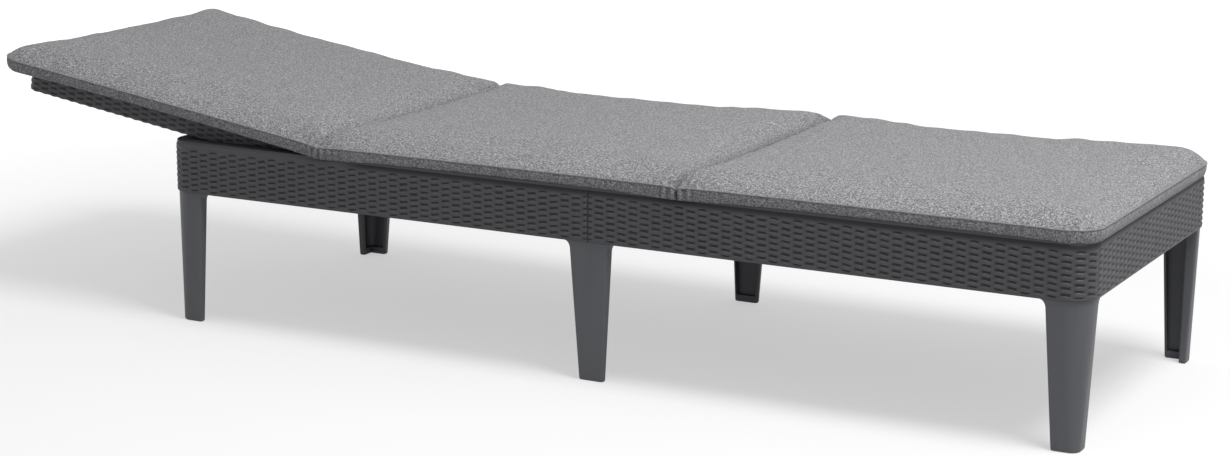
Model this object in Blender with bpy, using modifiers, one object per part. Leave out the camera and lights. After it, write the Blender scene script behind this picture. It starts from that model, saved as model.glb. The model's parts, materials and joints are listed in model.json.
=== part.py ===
"""Reclining sun lounger with a woven-look moulded frame, six legs and a three-panel cushion.

Metres, +Z up. The foot end points along +X and the near side is -Y. The origin is on the
ground, under the middle of the lounger's box with the backrest at its lowest position.

The frame is two open-bottomed mouldings that meet in the middle. Each has an outer wall, an
inner wall that makes a channel with it all round, and a ribbed deck between the inner walls.
The legs plug into the channel from below. The backrest turns on two pins at the inner walls
and is held up by a U-shaped prop whose bar lies on a notched ledge on each inner wall. The
prop's arms are as long as its pivot is far from the hinge, and the ledges are level with the
hinge axis, so the prop always leans as far down as the backrest leans up.
"""
import math

import bmesh
import bpy
from mathutils import Matrix

# Overall sizes
FRAME_LENGTH = 1.536
FRAME_WIDTH = 0.580
RIM_TOP = 0.2985            # height of the rim and of the deck
WALL_HEIGHT = 0.083         # height of the woven wall

# Frame mouldings
CORNER_RADIUS = 0.040       # corners of the frame, seen from above
CORNER_STEPS = 6
RIM_ROUNDING = 0.008
WALL = 0.0035
CHANNEL_WIDTH = 0.026       # from the outer face of the wall to the inner face of the channel
RIB_DEPTH = 0.040
RIB_COUNT_ACROSS = 2        # ribs that run lengthwise under the deck
CELL_LENGTH = 0.150         # longest cell between two ribs
SLOT_WIDTH = 0.009
SLOT_MARGIN = 0.016         # from a slot's end to the nearest rib
SLOTS_PER_CELL = 4
SEAM_SCREW_SPACING = 0.150
SEAM_PLATE_DEPTH = 0.056

# Clearances
GAP = 0.0003                # between pieces that touch
RUNNING_GAP = 0.002         # between the backrest and the frame
SAME_POINT = 0.00001        # points of one mesh that are nearer than this are merged

# Backrest
HEAD_BAY = 0.293            # from the frame's head end to the hinge axis
PANEL_LENGTH = 0.607        # from the hinge axis to the tip
PANEL_DEPTH = 0.034
PANEL_CORNER = 0.022
PANEL_RIB_SPACING = 0.170
RECLINE = math.radians(54.0)        # from the lowest position to the highest
POSITION_COUNT = 4          # the lowest one, on the buffers, and three notches
HINGE_PIN_RADIUS = 0.006
HOLLOW_HEEL = 0.0055        # from the hinge axis back to where the panel's hollow opens
PIN_HEAD = 0.003            # thickness of a pin's head
PIN_HEAD_RIM = 0.0035       # how far a pin's head stands out round its shank

# Prop
BAR_RADIUS = 0.005
BAR_CLEARANCE = 0.0045      # from the bar at rest to the head channel
ARM_THICKNESS = 0.008
ARM_WIDTH = 0.016
ARM_INSET = 0.030           # from the panel's side to the arm's outer face
PROP_PIN_RADIUS = 0.004
LUG_THICKNESS = 0.004
LEDGE_WIDTH = 0.028
LEDGE_DEPTH = 0.022
NOTCH_DEPTH = 0.007
BAR_LIFT = 0.0004           # from the bar to the crest of the ledge

# Buffers under the lowered backrest
BUFFER_HEIGHT = 0.0066676   # from the rim to the panel, at the middle of the buffers
BUFFER_LENGTH = 0.014
BUFFER_WIDTH = 0.030
BUFFER_SPACING = 0.400

# Legs
LEG_TOP_WIDTH = 0.062       # along the frame, just under the flare
LEG_FOOT_WIDTH = 0.039
LEG_TOP_RETURN = 0.046      # across the frame, at a corner
LEG_FOOT_RETURN = 0.033
LEG_TOP_THICKNESS = 0.018
LEG_FOOT_THICKNESS = 0.011
LEG_TOP_INSET = 0.0012      # from the frame's outer face
LEG_FOOT_INSET = 0.0105
LEG_CORNER_RADIUS = 0.014   # at the foot; it follows the frame's corner at the top
LEG_FLARE = 0.012           # height of the flare under the frame
LEG_FLARE_REACH = 0.0096    # how far the flare widens the leg each way
LEG_SKIN = 0.004
LEG_SOLE = 0.012            # solid height at the foot
LEG_SOLE_ROUNDING = 0.002
LEG_EDGE = 0.0025
LEG_EDGE_BULGE = 0.00075    # how far an edge's middle point stays inside its corner
MID_LEG_TOP_WIDTH = 0.066
MID_LEG_FOOT_WIDTH = 0.041
MID_LEG_EDGE = 0.004
TENON_HEIGHT = 0.030
TENON_TOP = 0.005
TENON_SKIN = 0.003
BOSS_RADIUS = 0.0055

# Screws
SCREW_RADIUS = 0.0022
SCREW_HEAD_RADIUS = 0.0046
SCREW_HEAD = 0.0028
LEG_SCREW_LENGTH = 0.026
SEAM_SCREW_LENGTH = 0.020
RETURN_SCREW_MARGIN = 0.0078    # from the end of a corner leg's return to its screw

# Cushion
CUSHION_THICKNESS = 0.036
CUSHION_SIDE_INSET = 0.005  # from the frame's side to the cushion's side
CUSHION_FOOT_INSET = 0.002
CUSHION_OVERHANG = 0.025    # past the tip of the backrest
CUSHION_CORNER = 0.040
CUSHION_EDGE = 0.008
FOLD_PAST_SEAM = 0.147      # from the frame's seam to the fold between seat and foot
CUSHION_GAP = 0.003         # between the seat cushion and the foot cushion
FOLD_MARGIN = math.radians(1.0)     # left open at the fold with the backrest at its highest

# Worked out from the sizes above
UNDERSIDE = RIM_TOP - WALL_HEIGHT
HALF_LENGTH = FRAME_LENGTH / 2
HALF_WIDTH = FRAME_WIDTH / 2
DECK_UNDERSIDE = RIM_TOP - WALL
BAY_HALF_WIDTH = HALF_WIDTH - CHANNEL_WIDTH
PANEL_HALF_WIDTH = BAY_HALF_WIDTH - RUNNING_GAP
HINGE_DROP = PANEL_DEPTH / 2
HINGE_Z = RIM_TOP - HINGE_DROP
BUFFER_REACH = HEAD_BAY - CHANNEL_WIDTH / 2
REST_TILT = (math.atan((HINGE_DROP + BUFFER_HEIGHT) / BUFFER_REACH)
             + math.asin(HINGE_DROP / math.hypot(BUFFER_REACH, HINGE_DROP + BUFFER_HEIGHT)))
TOP_TILT = REST_TILT + RECLINE
CUSHION_REACH = PANEL_LENGTH + CUSHION_OVERHANG
FLAT_REACH = CUSHION_REACH * math.cos(REST_TILT) - HEAD_BAY
FRAME_X = FLAT_REACH / 2    # the frame's middle, so that the whole lounger is centred
HINGE_X = FRAME_X - HALF_LENGTH + HEAD_BAY
BAR_REST = HEAD_BAY - CHANNEL_WIDTH - BAR_CLEARANCE - BAR_RADIUS
PROP_LENGTH = BAR_REST / (2 * math.cos(REST_TILT))
ARM_Y = PANEL_HALF_WIDTH - ARM_INSET - ARM_THICKNESS / 2
SIDES = {"near": -1, "far": 1}
SHARP_ANGLE = math.radians(35)      # edges steeper than this are shaded sharp

PLASTIC = ("graphite_resin", (0.058, 0.058, 0.064), 0.55, 0.0)
LEG_PLASTIC = ("graphite_leg_resin", (0.078, 0.080, 0.088), 0.42, 0.0)
STEEL = ("zinc_plated_steel", (0.52, 0.52, 0.54), 0.35, 1.0)
RUBBER = ("black_rubber", (0.02, 0.02, 0.02), 0.85, 0.0)
CLOTH = ("grey_melange_cloth", (0.25, 0.25, 0.265), 0.9, 0.0)


def clear_scene():
    """Removes every object, so the script can run again in an open file."""
    for old in list(bpy.data.objects):
        bpy.data.objects.remove(old, do_unlink=True)


def collection(name):
    """The scene's collection of that name, made if it is missing."""
    found = bpy.data.collections.get(name)
    if found is None:
        found = bpy.data.collections.new(name)
        bpy.context.scene.collection.children.link(found)
    return found


def material(finish):
    """A Principled BSDF material from a name, colour, roughness and metallic value."""
    name, colour, roughness, metallic = finish
    made = bpy.data.materials.get(name)
    if made is None:
        made = bpy.data.materials.new(name)
        made.use_nodes = True
        shader = made.node_tree.nodes["Principled BSDF"]
        shader.inputs["Base Color"].default_value = (*colour, 1.0)
        shader.inputs["Roughness"].default_value = roughness
        shader.inputs["Metallic"].default_value = metallic
        made.diffuse_color = (*colour, 1.0)
    return made


# Solids

def object_from(bm, name, parent=None):
    """An object from a bmesh, which is freed, with its faces turned outwards."""
    bmesh.ops.recalc_face_normals(bm, faces=bm.faces)
    if bm.calc_volume(signed=True) < 0:
        bmesh.ops.reverse_faces(bm, faces=bm.faces)
    mesh = bpy.data.meshes.new(name)
    bm.to_mesh(mesh)
    bm.free()
    made = bpy.data.objects.new(name, mesh)
    made.parent = parent
    return made


def box_mesh(bm, low, high):
    """Adds the box between two corners to a bmesh."""
    size = [high[i] - low[i] for i in range(3)]
    middle = [(high[i] + low[i]) / 2 for i in range(3)]
    place = Matrix.Translation(middle) @ Matrix.Diagonal((*size, 1.0))
    bmesh.ops.create_cube(bm, size=1.0, matrix=place)


def boxes(name, corners, parent=None):
    """One object of separate boxes, from pairs of corners."""
    bm = bmesh.new()
    for low, high in corners:
        box_mesh(bm, low, high)
    return object_from(bm, name, parent)


def rods(name, rows, radius, axis, parent=None, steps=16):
    """One object of separate round rods, from (centre, length) pairs along one axis."""
    turn = {"X": Matrix.Rotation(math.pi / 2, 4, "Y"),
            "Y": Matrix.Rotation(math.pi / 2, 4, "X"),
            "Z": Matrix.Identity(4)}[axis]
    bm = bmesh.new()
    for centre, length in rows:
        bmesh.ops.create_cone(bm, cap_ends=True, segments=steps, radius1=radius,
                              radius2=radius, depth=length,
                              matrix=Matrix.Translation(centre) @ turn)
    return object_from(bm, name, parent)


def slab(name, outlines, low, high, plane="XY", parent=None):
    """Flat outlines, filled and made as thick as from low to high across their plane.

    A second outline inside the first is a hole. The plane is XY, with the thickness along Z,
    or XZ, with the thickness along Y.
    """
    curve = bpy.data.curves.new(name, "CURVE")
    curve.dimensions = "2D"
    curve.fill_mode = "BOTH"
    curve.extrude = (high - low) / 2
    for outline in outlines:
        spline = curve.splines.new("POLY")
        spline.points.add(len(outline) - 1)
        for point, (u, v) in zip(spline.points, outline):
            point.co = (u, v, 0, 1)
        spline.use_cyclic_u = True
    drawn = bpy.data.objects.new(name + "_drawn", curve)
    bpy.context.scene.collection.objects.link(drawn)
    shaped = drawn.evaluated_get(bpy.context.evaluated_depsgraph_get())
    mesh = bpy.data.meshes.new_from_object(shaped)
    bpy.data.objects.remove(drawn)
    bm = bmesh.new()
    bm.from_mesh(mesh)
    bpy.data.meshes.remove(mesh)
    bmesh.ops.remove_doubles(bm, verts=bm.verts, dist=SAME_POINT)
    if plane == "XZ":
        bmesh.ops.transform(bm, verts=bm.verts, matrix=Matrix.Rotation(math.pi / 2, 4, "X"))
        shift = (0, (low + high) / 2, 0)
    else:
        shift = (0, 0, (low + high) / 2)
    bmesh.ops.translate(bm, verts=bm.verts, vec=shift)
    return object_from(bm, name, parent)


def loft(name, rings, parent=None):
    """A closed solid through rings of points, each ring with the same number of points."""
    bm = bmesh.new()
    rows = [[bm.verts.new(point) for point in ring] for ring in rings]
    count = len(rows[0])
    for lower, upper in zip(rows, rows[1:]):
        for i in range(count):
            j = (i + 1) % count
            bm.faces.new((lower[i], lower[j], upper[j], upper[i]))
    bm.faces.new(rows[0])
    bm.faces.new(rows[-1])
    return object_from(bm, name, parent)


def turned(name, profile, steps=12):
    """A turned solid from (radius, height) points that run down its outer side."""
    mesh = bpy.data.meshes.new(name)
    points = [(radius, 0, height) for radius, height in profile]
    edges = [(i, i + 1) for i in range(len(points) - 1)]
    mesh.from_pydata(points, edges, [])
    made = bpy.data.objects.new(name, mesh)
    spin = made.modifiers.new("turn", "SCREW")
    spin.axis = "Z"
    spin.steps = steps
    spin.render_steps = steps
    spin.use_merge_vertices = True
    spin.merge_threshold = SAME_POINT
    return made


# Outlines

def arc(centre, radius, start, stop, steps):
    """Points on an arc, with angles in degrees, both ends included."""
    points = []
    for i in range(steps + 1):
        angle = math.radians(start + (stop - start) * i / steps)
        points.append((centre[0] + radius * math.cos(angle),
                       centre[1] + radius * math.sin(angle)))
    return points


def end_outline(square_end, round_end, half_width, radius, steps=CORNER_STEPS):
    """A rectangle along X with square corners at one end and round ones at the other."""
    sign = 1 if round_end > square_end else -1
    centre = round_end - sign * radius
    top = arc((centre, half_width - radius), radius, 90, 90 - sign * 90, steps)
    bottom = arc((centre, -half_width + radius), radius, 90 - sign * 90, 90 - sign * 180, steps)
    return [(square_end, half_width), *top, *bottom, (square_end, -half_width)]


def stadium(start, stop, half_width, steps=8):
    """A bar with round ends, between two points on the same height."""
    left, right = sorted((start, stop))
    return (arc((left, 0), half_width, 90, 270, steps)
            + arc((right, 0), half_width, -90, 90, steps))


# Putting pieces together

def keep(made, finish):
    """Puts a finished piece in the lounger's collection, with its material."""
    collection("sun_lounger").objects.link(made)
    made.data.materials.append(material(finish))
    made.data.shade_smooth()
    made.data.set_sharp_from_angle(angle=SHARP_ANGLE)
    return made


def combine(target, helper, operation):
    """Cuts a helper from a piece, or joins it on, with a Boolean modifier."""
    collection("sun_lounger_cutters").objects.link(helper)
    helper.hide_render = True
    helper.display_type = "WIRE"
    change = target.modifiers.new(helper.name, "BOOLEAN")
    change.operation = operation
    change.object = helper
    change.solver = "EXACT"


def cut(target, helper):
    """Takes the helper's volume away from a piece."""
    combine(target, helper, "DIFFERENCE")


def join(target, helper):
    """Adds the helper's volume to a piece."""
    combine(target, helper, "UNION")


def pivot(name, place, tilt, parent=None):
    """An empty on a joint's axis, turned about Y so that the -X side rises with the tilt."""
    made = bpy.data.objects.new(name, None)
    collection("sun_lounger").objects.link(made)
    made.parent = parent
    made.location = place
    made.rotation_euler = (0, tilt, 0)
    return made


# Screw places, shared by the frame, the legs and the screws

def corner_screws(end, side):
    """Places of the two screws of a corner leg, one in each arm of its tenon."""
    outer_x = FRAME_X + end * HALF_LENGTH
    outer_y = side * HALF_WIDTH
    middle = CHANNEL_WIDTH / 2
    return [(outer_x - end * (LEG_TOP_WIDTH - middle), outer_y - side * middle),
            (outer_x - end * middle, outer_y - side * (LEG_TOP_RETURN - RETURN_SCREW_MARGIN))]


def mid_screws(side):
    """Places of the two screws of a middle leg, one in each half of the frame."""
    reach = MID_LEG_TOP_WIDTH / 4
    return [(FRAME_X + end * reach, side * (HALF_WIDTH - CHANNEL_WIDTH / 2)) for end in (-1, 1)]


def seam_screws():
    """Places across the frame of the screws that hold its two halves together."""
    return [i * SEAM_SCREW_SPACING for i in (-1, 0, 1)]


# Frame

def cell_edges(start, stop, longest):
    """Walls between equal cells no longer than the given length, as (low, high) pairs."""
    low, high = sorted((start, stop))
    count = math.ceil((high - low + WALL) / (longest + WALL))
    size = (high - low - WALL * (count - 1)) / count
    return [(low + i * (size + WALL), low + i * (size + WALL) + size) for i in range(count)]


def deck_cells(start, stop):
    """The cells between the ribs under the deck, as (x low, x high, y low, y high)."""
    across = (2 * BAY_HALF_WIDTH - WALL * RIB_COUNT_ACROSS) / (RIB_COUNT_ACROSS + 1)
    rows = cell_edges(-BAY_HALF_WIDTH, BAY_HALF_WIDTH, across + SAME_POINT)
    return [(x0, x1, y0, y1) for x0, x1 in cell_edges(start, stop, CELL_LENGTH)
            for y0, y1 in rows]


def slots(cells):
    """Drain slots through the deck, the same number in each cell."""
    corners = []
    for x0, x1, y0, y1 in cells:
        pitch = (y1 - y0) / SLOTS_PER_CELL
        for i in range(SLOTS_PER_CELL):
            middle = y0 + pitch * (i + 0.5)
            corners.append(((x0 + SLOT_MARGIN, middle - SLOT_WIDTH / 2, DECK_UNDERSIDE - WALL),
                            (x1 - SLOT_MARGIN, middle + SLOT_WIDTH / 2, RIM_TOP + WALL)))
    return corners


def rounded_block(name, seam, end):
    """The outer shape of a frame half: a block with round corners and a rounded rim."""
    outline = end_outline(seam, end, HALF_WIDTH, CORNER_RADIUS)
    block = slab(name, [outline], UNDERSIDE, RIM_TOP)
    bm = bmesh.new()
    bm.from_mesh(block.data)
    weight = bm.edges.layers.float.new("bevel_weight_edge")
    for edge in bm.edges:
        on_rim = all(abs(v.co.z - RIM_TOP) < SAME_POINT for v in edge.verts)
        on_seam = all(abs(v.co.x - seam) < SAME_POINT for v in edge.verts)
        on_outline = len({round(f.normal.z, 3) for f in edge.link_faces}) > 1
        if on_rim and on_outline and not on_seam:
            edge[weight] = 1.0
    bm.to_mesh(block.data)
    bm.free()
    bevel = block.modifiers.new("rim", "BEVEL")
    bevel.limit_method = "WEIGHT"
    bevel.width = RIM_ROUNDING
    bevel.segments = 3
    return block


def frame_half(name, end):
    """One half of the frame: block, channel, ribbed deck, screw bosses and their holes."""
    seam = FRAME_X + end * GAP / 2
    tip = FRAME_X + end * HALF_LENGTH
    past_seam = FRAME_X - end * WALL
    below = UNDERSIDE - WALL
    half = rounded_block(name, seam, tip)

    outer = end_outline(past_seam, tip - end * WALL, HALF_WIDTH - WALL, CORNER_RADIUS - WALL)
    inset = CHANNEL_WIDTH - WALL
    inner = end_outline(past_seam - end * WALL, tip - end * inset, HALF_WIDTH - inset,
                        CORNER_RADIUS - inset)
    channel = slab("cut_channel_" + name, [outer], below, DECK_UNDERSIDE)
    core = slab("core_channel_" + name, [inner], below - WALL, DECK_UNDERSIDE + WALL)
    cut(channel, core)
    cut(half, channel)

    deck_start = seam + end * WALL
    deck_stop = tip - end * CHANNEL_WIDTH
    if end < 0:
        deck_stop = HINGE_X + HINGE_DROP + RUNNING_GAP + WALL
    cells = deck_cells(deck_start, deck_stop)
    cut(half, boxes("cut_cells_" + name, [((x0, y0, below), (x1, y1, DECK_UNDERSIDE))
                                          for x0, x1, y0, y1 in cells]))
    cut(half, boxes("cut_slots_" + name, slots(cells)))
    x_low, x_high = sorted((deck_start, deck_stop))
    rib_bottom = DECK_UNDERSIDE - RIB_DEPTH
    cut(half, boxes("cut_under_ribs_" + name, [
        ((x_low, -BAY_HALF_WIDTH, below), (x_high, BAY_HALF_WIDTH, rib_bottom))]))
    seam_low, seam_high = sorted((seam - end * WALL, deck_start + end * WALL / 2))
    cut(half, boxes("cut_under_seam_" + name, [
        ((seam_low, -BAY_HALF_WIDTH, below),
         (seam_high, BAY_HALF_WIDTH, DECK_UNDERSIDE - SEAM_PLATE_DEPTH))]))

    places = [place for side in SIDES.values() for place in corner_screws(end, side)]
    places += [place for side in SIDES.values() for place in mid_screws(side)
               if (place[0] - FRAME_X) * end > 0]
    boss_bottom = UNDERSIDE + TENON_HEIGHT + GAP
    boss_top = DECK_UNDERSIDE + WALL / 2
    join(half, rods("add_bosses_" + name,
                    [((x, y, (boss_bottom + boss_top) / 2), boss_top - boss_bottom)
                     for x, y in places], BOSS_RADIUS, "Z", steps=12))
    hole_top = boss_bottom + LEG_SCREW_LENGTH
    cut(half, rods("cut_boss_holes_" + name,
                   [((x, y, (below + hole_top) / 2), hole_top - below) for x, y in places],
                   SCREW_RADIUS + GAP, "Z", steps=10))
    cut(half, rods("cut_seam_holes_" + name,
                   [((seam + end * WALL / 2, y, seam_screw_height()), 3 * WALL)
                    for y in seam_screws()], SCREW_RADIUS + GAP, "X", steps=10))
    return half


def seam_screw_height():
    """Height of the screws through the two plates at the seam, below the ribs."""
    return DECK_UNDERSIDE - (RIB_DEPTH + SEAM_PLATE_DEPTH) / 2


def position_tilts():
    """The backrest's tilt at each position, from the lowest to the highest."""
    step = (TOP_TILT - REST_TILT) / (POSITION_COUNT - 1)
    return [REST_TILT + i * step for i in range(POSITION_COUNT)]


def ledge_outline():
    """Side view of a notched ledge: level crests with a notch for each raised position.

    A notch is upright on the side towards the hinge, where the bar pushes, and slopes out
    on the other side.
    """
    crest = HINGE_Z - BAR_RADIUS - BAR_LIFT
    bottom = crest - LEDGE_DEPTH
    head = HINGE_X - HEAD_BAY + CHANNEL_WIDTH - WALL / 2
    reach = 2 * PROP_LENGTH * math.cos(TOP_TILT) - 3 * BAR_RADIUS
    start = HINGE_X - reach
    points = [(head, bottom), (start - LEDGE_DEPTH / 2, bottom), (start, crest)]
    for tilt in reversed(position_tilts()[1:]):
        bar = HINGE_X - 2 * PROP_LENGTH * math.cos(tilt)
        wall = bar + BAR_RADIUS + BAR_LIFT
        floor = bar - BAR_RADIUS - BAR_LIFT
        points += [(wall, crest), (wall, crest - NOTCH_DEPTH), (floor, crest - NOTCH_DEPTH),
                   (floor - NOTCH_DEPTH, crest)]
    return points + [(head, crest)]


def frame_head_half():
    """The half under the backrest, with its open bay, hinge holes and notched ledges."""
    half = frame_half("frame_head_half", -1)
    bay_low = HINGE_X - HEAD_BAY + CHANNEL_WIDTH
    bay_high = HINGE_X + HINGE_DROP + RUNNING_GAP
    cut(half, boxes("cut_bay", [((bay_low, -BAY_HALF_WIDTH, UNDERSIDE - WALL),
                                 (bay_high, BAY_HALF_WIDTH, RIM_TOP + WALL))]))
    for label, side in SIDES.items():
        wall = side * (BAY_HALF_WIDTH + WALL / 2)
        edge = side * (BAY_HALF_WIDTH - LEDGE_WIDTH)
        join(half, slab("add_ledge_" + label, [ledge_outline()], min(wall, edge),
                        max(wall, edge), "XZ"))
        cut(half, rods("cut_hinge_hole_" + label, [((HINGE_X, wall, HINGE_Z), 3 * WALL)],
                       HINGE_PIN_RADIUS + GAP, "Y", steps=20))
    return keep(half, PLASTIC)


def frame_foot_half():
    """The half under the legs of whoever lies on it."""
    return keep(frame_half("frame_foot_half", 1), PLASTIC)


# Legs

def mix(low, high, share):
    """The value that lies that share of the way from low to high."""
    return low + (high - low) * share


def corner_section(share, flare=0.0, shrink=0.0):
    """The L-shaped section of a corner leg, with its outer corner towards (0, 0).

    share runs from 0 at the foot to 1 under the frame.
    """
    lean = mix(LEG_FOOT_INSET, LEG_TOP_INSET, share)
    inset = lean + shrink
    width = mix(LEG_FOOT_WIDTH, LEG_TOP_WIDTH, share) + lean + flare - shrink
    depth = mix(LEG_FOOT_RETURN, LEG_TOP_RETURN, share) + lean + flare - shrink
    inner = lean + mix(LEG_FOOT_THICKNESS, LEG_TOP_THICKNESS, share) - shrink
    edge = LEG_EDGE
    soft = LEG_EDGE_BULGE
    radius = min(mix(LEG_CORNER_RADIUS, CORNER_RADIUS, share), depth - edge - inset)
    return [*arc((inset + radius, inset + radius), radius, 270, 180, CORNER_STEPS),
            (inset, depth - edge), (inset + soft, depth - soft), (inset + edge, depth),
            (inner - edge, depth), (inner - soft, depth - soft), (inner, depth - edge),
            (inner, inner), (width - edge, inner), (width - soft, inner - soft),
            (width, inner - edge), (width, inset + edge), (width - soft, inset + soft),
            (width - edge, inset)]


def corner_pocket(share):
    """The hollow of a corner leg: a skin inside its outer faces and open on the inner side."""
    lean = mix(LEG_FOOT_INSET, LEG_TOP_INSET, share)
    inset = lean + LEG_SKIN
    width = mix(LEG_FOOT_WIDTH, LEG_TOP_WIDTH, share) + lean - LEG_SKIN
    depth = mix(LEG_FOOT_RETURN, LEG_TOP_RETURN, share) + lean - LEG_SKIN
    radius = min(mix(LEG_CORNER_RADIUS, CORNER_RADIUS, share) - LEG_SKIN,
                 depth - LEG_EDGE - inset)
    return [*arc((inset + radius, inset + radius), radius, 270, 180, CORNER_STEPS),
            (inset, depth), (width, depth), (width, inset)]


def mid_section(share, flare=0.0, shrink=0.0):
    """The section of a middle leg, centred along the frame, with its outer face at y = 0."""
    lean = mix(LEG_FOOT_INSET, LEG_TOP_INSET, share)
    inset = lean + shrink
    half = mix(MID_LEG_FOOT_WIDTH, MID_LEG_TOP_WIDTH, share) / 2 + flare - shrink
    inner = lean + mix(LEG_FOOT_THICKNESS, LEG_TOP_THICKNESS, share) - shrink
    radius = MID_LEG_EDGE
    return [*arc((-half + radius, inset + radius), radius, 270, 180, 3),
            *arc((-half + radius, inner - radius), radius, 180, 90, 3),
            *arc((half - radius, inner - radius), radius, 90, 0, 3),
            *arc((half - radius, inset + radius), radius, 0, -90, 3)]


def mid_pocket(share):
    """The hollow of a middle leg: a skin inside its outer face and open on the inner side."""
    inset = mix(LEG_FOOT_INSET, LEG_TOP_INSET, share) + LEG_SKIN
    half = mix(MID_LEG_FOOT_WIDTH, MID_LEG_TOP_WIDTH, share) / 2 - LEG_SKIN
    inner = inset + CHANNEL_WIDTH
    return [(-half, inset), (-half, inner), (half, inner), (half, inset)]


def leg_rings(section, place):
    """Rings of a leg from its rounded sole, up its taper, to the flare under the frame."""
    top = UNDERSIDE - GAP
    rings = []
    sole_steps = 2
    for i in range(sole_steps + 1):
        angle = math.pi / 2 * i / sole_steps
        height = LEG_SOLE_ROUNDING * (1 - math.cos(angle))
        shrink = LEG_SOLE_ROUNDING * (1 - math.sin(angle))
        rings.append([place(x, y, height) for x, y in section(height / top, shrink=shrink)])
    flare_steps = 5
    for i in range(flare_steps + 1):
        angle = math.pi / 2 * i / flare_steps
        height = top - LEG_FLARE * (1 - math.sin(angle))
        flare = LEG_FLARE_REACH * (1 - math.cos(angle))
        rings.append([place(x, y, height) for x, y in section(height / top, flare=flare)])
    return rings


def pocket_rings(pocket, place):
    """Rings of the hollow in a leg, from above its sole to the frame."""
    top = UNDERSIDE - GAP
    return [[place(x, y, height) for x, y in pocket(height / top)]
            for height in (LEG_SOLE, top)]


def tenon_outline(margin):
    """The L-shaped plug of a corner leg in the frame's channel, from its outer corner."""
    low = WALL + GAP + margin
    high = CHANNEL_WIDTH - WALL - GAP - margin
    width = LEG_TOP_WIDTH - margin
    depth = LEG_TOP_RETURN - margin
    radius = CORNER_RADIUS - WALL - GAP - margin
    return [*arc((low + radius, low + radius), radius, 270, 180, CORNER_STEPS),
            (low, depth), (high, depth), (high, high), (width, high), (width, low)]


def mid_tenon_outline(margin):
    """The plug of a middle leg in the frame's channel."""
    low = WALL + GAP + margin
    high = CHANNEL_WIDTH - WALL - GAP - margin
    half = MID_LEG_TOP_WIDTH / 2 - margin
    return [(-half, low), (half, low), (half, high), (-half, high)]


def leg(name, section, pocket, plug, place, screws):
    """A moulded leg: tapered shell, hollow on the inside, with a plug for the channel."""
    made = loft(name, leg_rings(section, place))

    def ring(outline, height):
        return [place(x, y, height) for x, y in outline]

    tenon_top = UNDERSIDE + TENON_HEIGHT
    join(made, loft("add_tenon_" + name, [ring(plug(0), UNDERSIDE - WALL),
                                          ring(plug(0), tenon_top)]))
    cut(made, loft("cut_pocket_" + name, pocket_rings(pocket, place)))
    cut(made, loft("cut_tenon_" + name, [ring(plug(TENON_SKIN), UNDERSIDE - 2 * WALL),
                                         ring(plug(TENON_SKIN), tenon_top - TENON_TOP)]))
    cut(made, rods("cut_screw_holes_" + name,
                   [((x, y, tenon_top), 4 * TENON_TOP) for x, y in screws],
                   SCREW_RADIUS + GAP, "Z", steps=10))
    return keep(made, LEG_PLASTIC)


def legs():
    """Four L-shaped corner legs and two flat middle legs."""
    for row, end in (("head", -1), ("foot", 1)):
        for label, side in SIDES.items():
            corner_x = FRAME_X + end * HALF_LENGTH
            corner_y = side * HALF_WIDTH

            def place(x, y, z, cx=corner_x, cy=corner_y, e=end, s=side):
                return (cx - e * x, cy - s * y, z)

            leg(f"leg_{row}_{label}", corner_section, corner_pocket, tenon_outline, place,
                corner_screws(end, side))
    for label, side in SIDES.items():

        def place_mid(x, y, z, cy=side * HALF_WIDTH, s=side):
            return (FRAME_X + x, cy - s * y, z)

        leg(f"leg_mid_{label}", mid_section, mid_pocket, mid_tenon_outline, place_mid,
            mid_screws(side))


# Fasteners

def screw(name, length):
    """A pan-head screw that points up along +Z, with its head's seat at the origin."""
    taper = SCREW_RADIUS * 1.5
    profile = [(0, length), (SCREW_RADIUS * 0.45, length - taper * 0.2),
               (SCREW_RADIUS, length - taper), (SCREW_RADIUS, 0), (SCREW_HEAD_RADIUS, 0),
               (SCREW_HEAD_RADIUS, -SCREW_HEAD * 0.5), (SCREW_HEAD_RADIUS * 0.6, -SCREW_HEAD),
               (0, -SCREW_HEAD)]
    return turned(name, profile, steps=10)


def screws():
    """The screws that hold the legs to the frame and the frame's halves to each other."""
    seat = UNDERSIDE + TENON_HEIGHT - TENON_TOP - GAP
    groups = {}
    for label, side in SIDES.items():
        groups["leg_screw_head_" + label] = corner_screws(-1, side)
        groups["leg_screw_mid_" + label] = mid_screws(side)
        groups["leg_screw_foot_" + label] = corner_screws(1, side)
    for name, places in groups.items():
        for number, (x, y) in enumerate(places, start=1):
            made = screw(f"{name}_{number}", LEG_SCREW_LENGTH)
            made.location = (x, y, seat)
            keep(made, STEEL)
    for number, y in enumerate(seam_screws(), start=1):
        made = screw(f"seam_screw_{number}", SEAM_SCREW_LENGTH)
        made.location = (FRAME_X - GAP / 2 - WALL - GAP, y, seam_screw_height())
        made.rotation_euler = (0, math.pi / 2, 0)
        keep(made, STEEL)


# Backrest, in its own frame: the hinge axis is Y, the tip points along -X, flat is level

def panel_outline(inset):
    """Side view of the backrest: flat, with a half-round end about the hinge axis.

    An inset gives the hollow inside it, which is open at the bottom.
    """
    radius = HINGE_DROP - inset
    tip = -PANEL_LENGTH + inset
    if inset == 0:
        return [(tip, -HINGE_DROP), (0, -HINGE_DROP), *arc((0, 0), radius, -90, 90, 10)[1:-1],
                (0, HINGE_DROP), (tip, HINGE_DROP)]
    open_bottom = -HINGE_DROP - WALL
    return [(tip, open_bottom), (-HOLLOW_HEEL, open_bottom), (0, -radius),
            *arc((0, 0), radius, -90, 90, 8)[1:], (tip, radius)]


def long_rib_outline():
    """Side view of a lengthwise rib, which follows the inside of the half-round end."""
    radius = HINGE_DROP - WALL / 2
    bottom = -HINGE_DROP + WALL
    start = math.degrees(math.asin(bottom / radius))
    tip = -PANEL_LENGTH + WALL / 2
    return [(tip, bottom), *arc((0, 0), radius, start, 90, 8), (tip, radius)]


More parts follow.
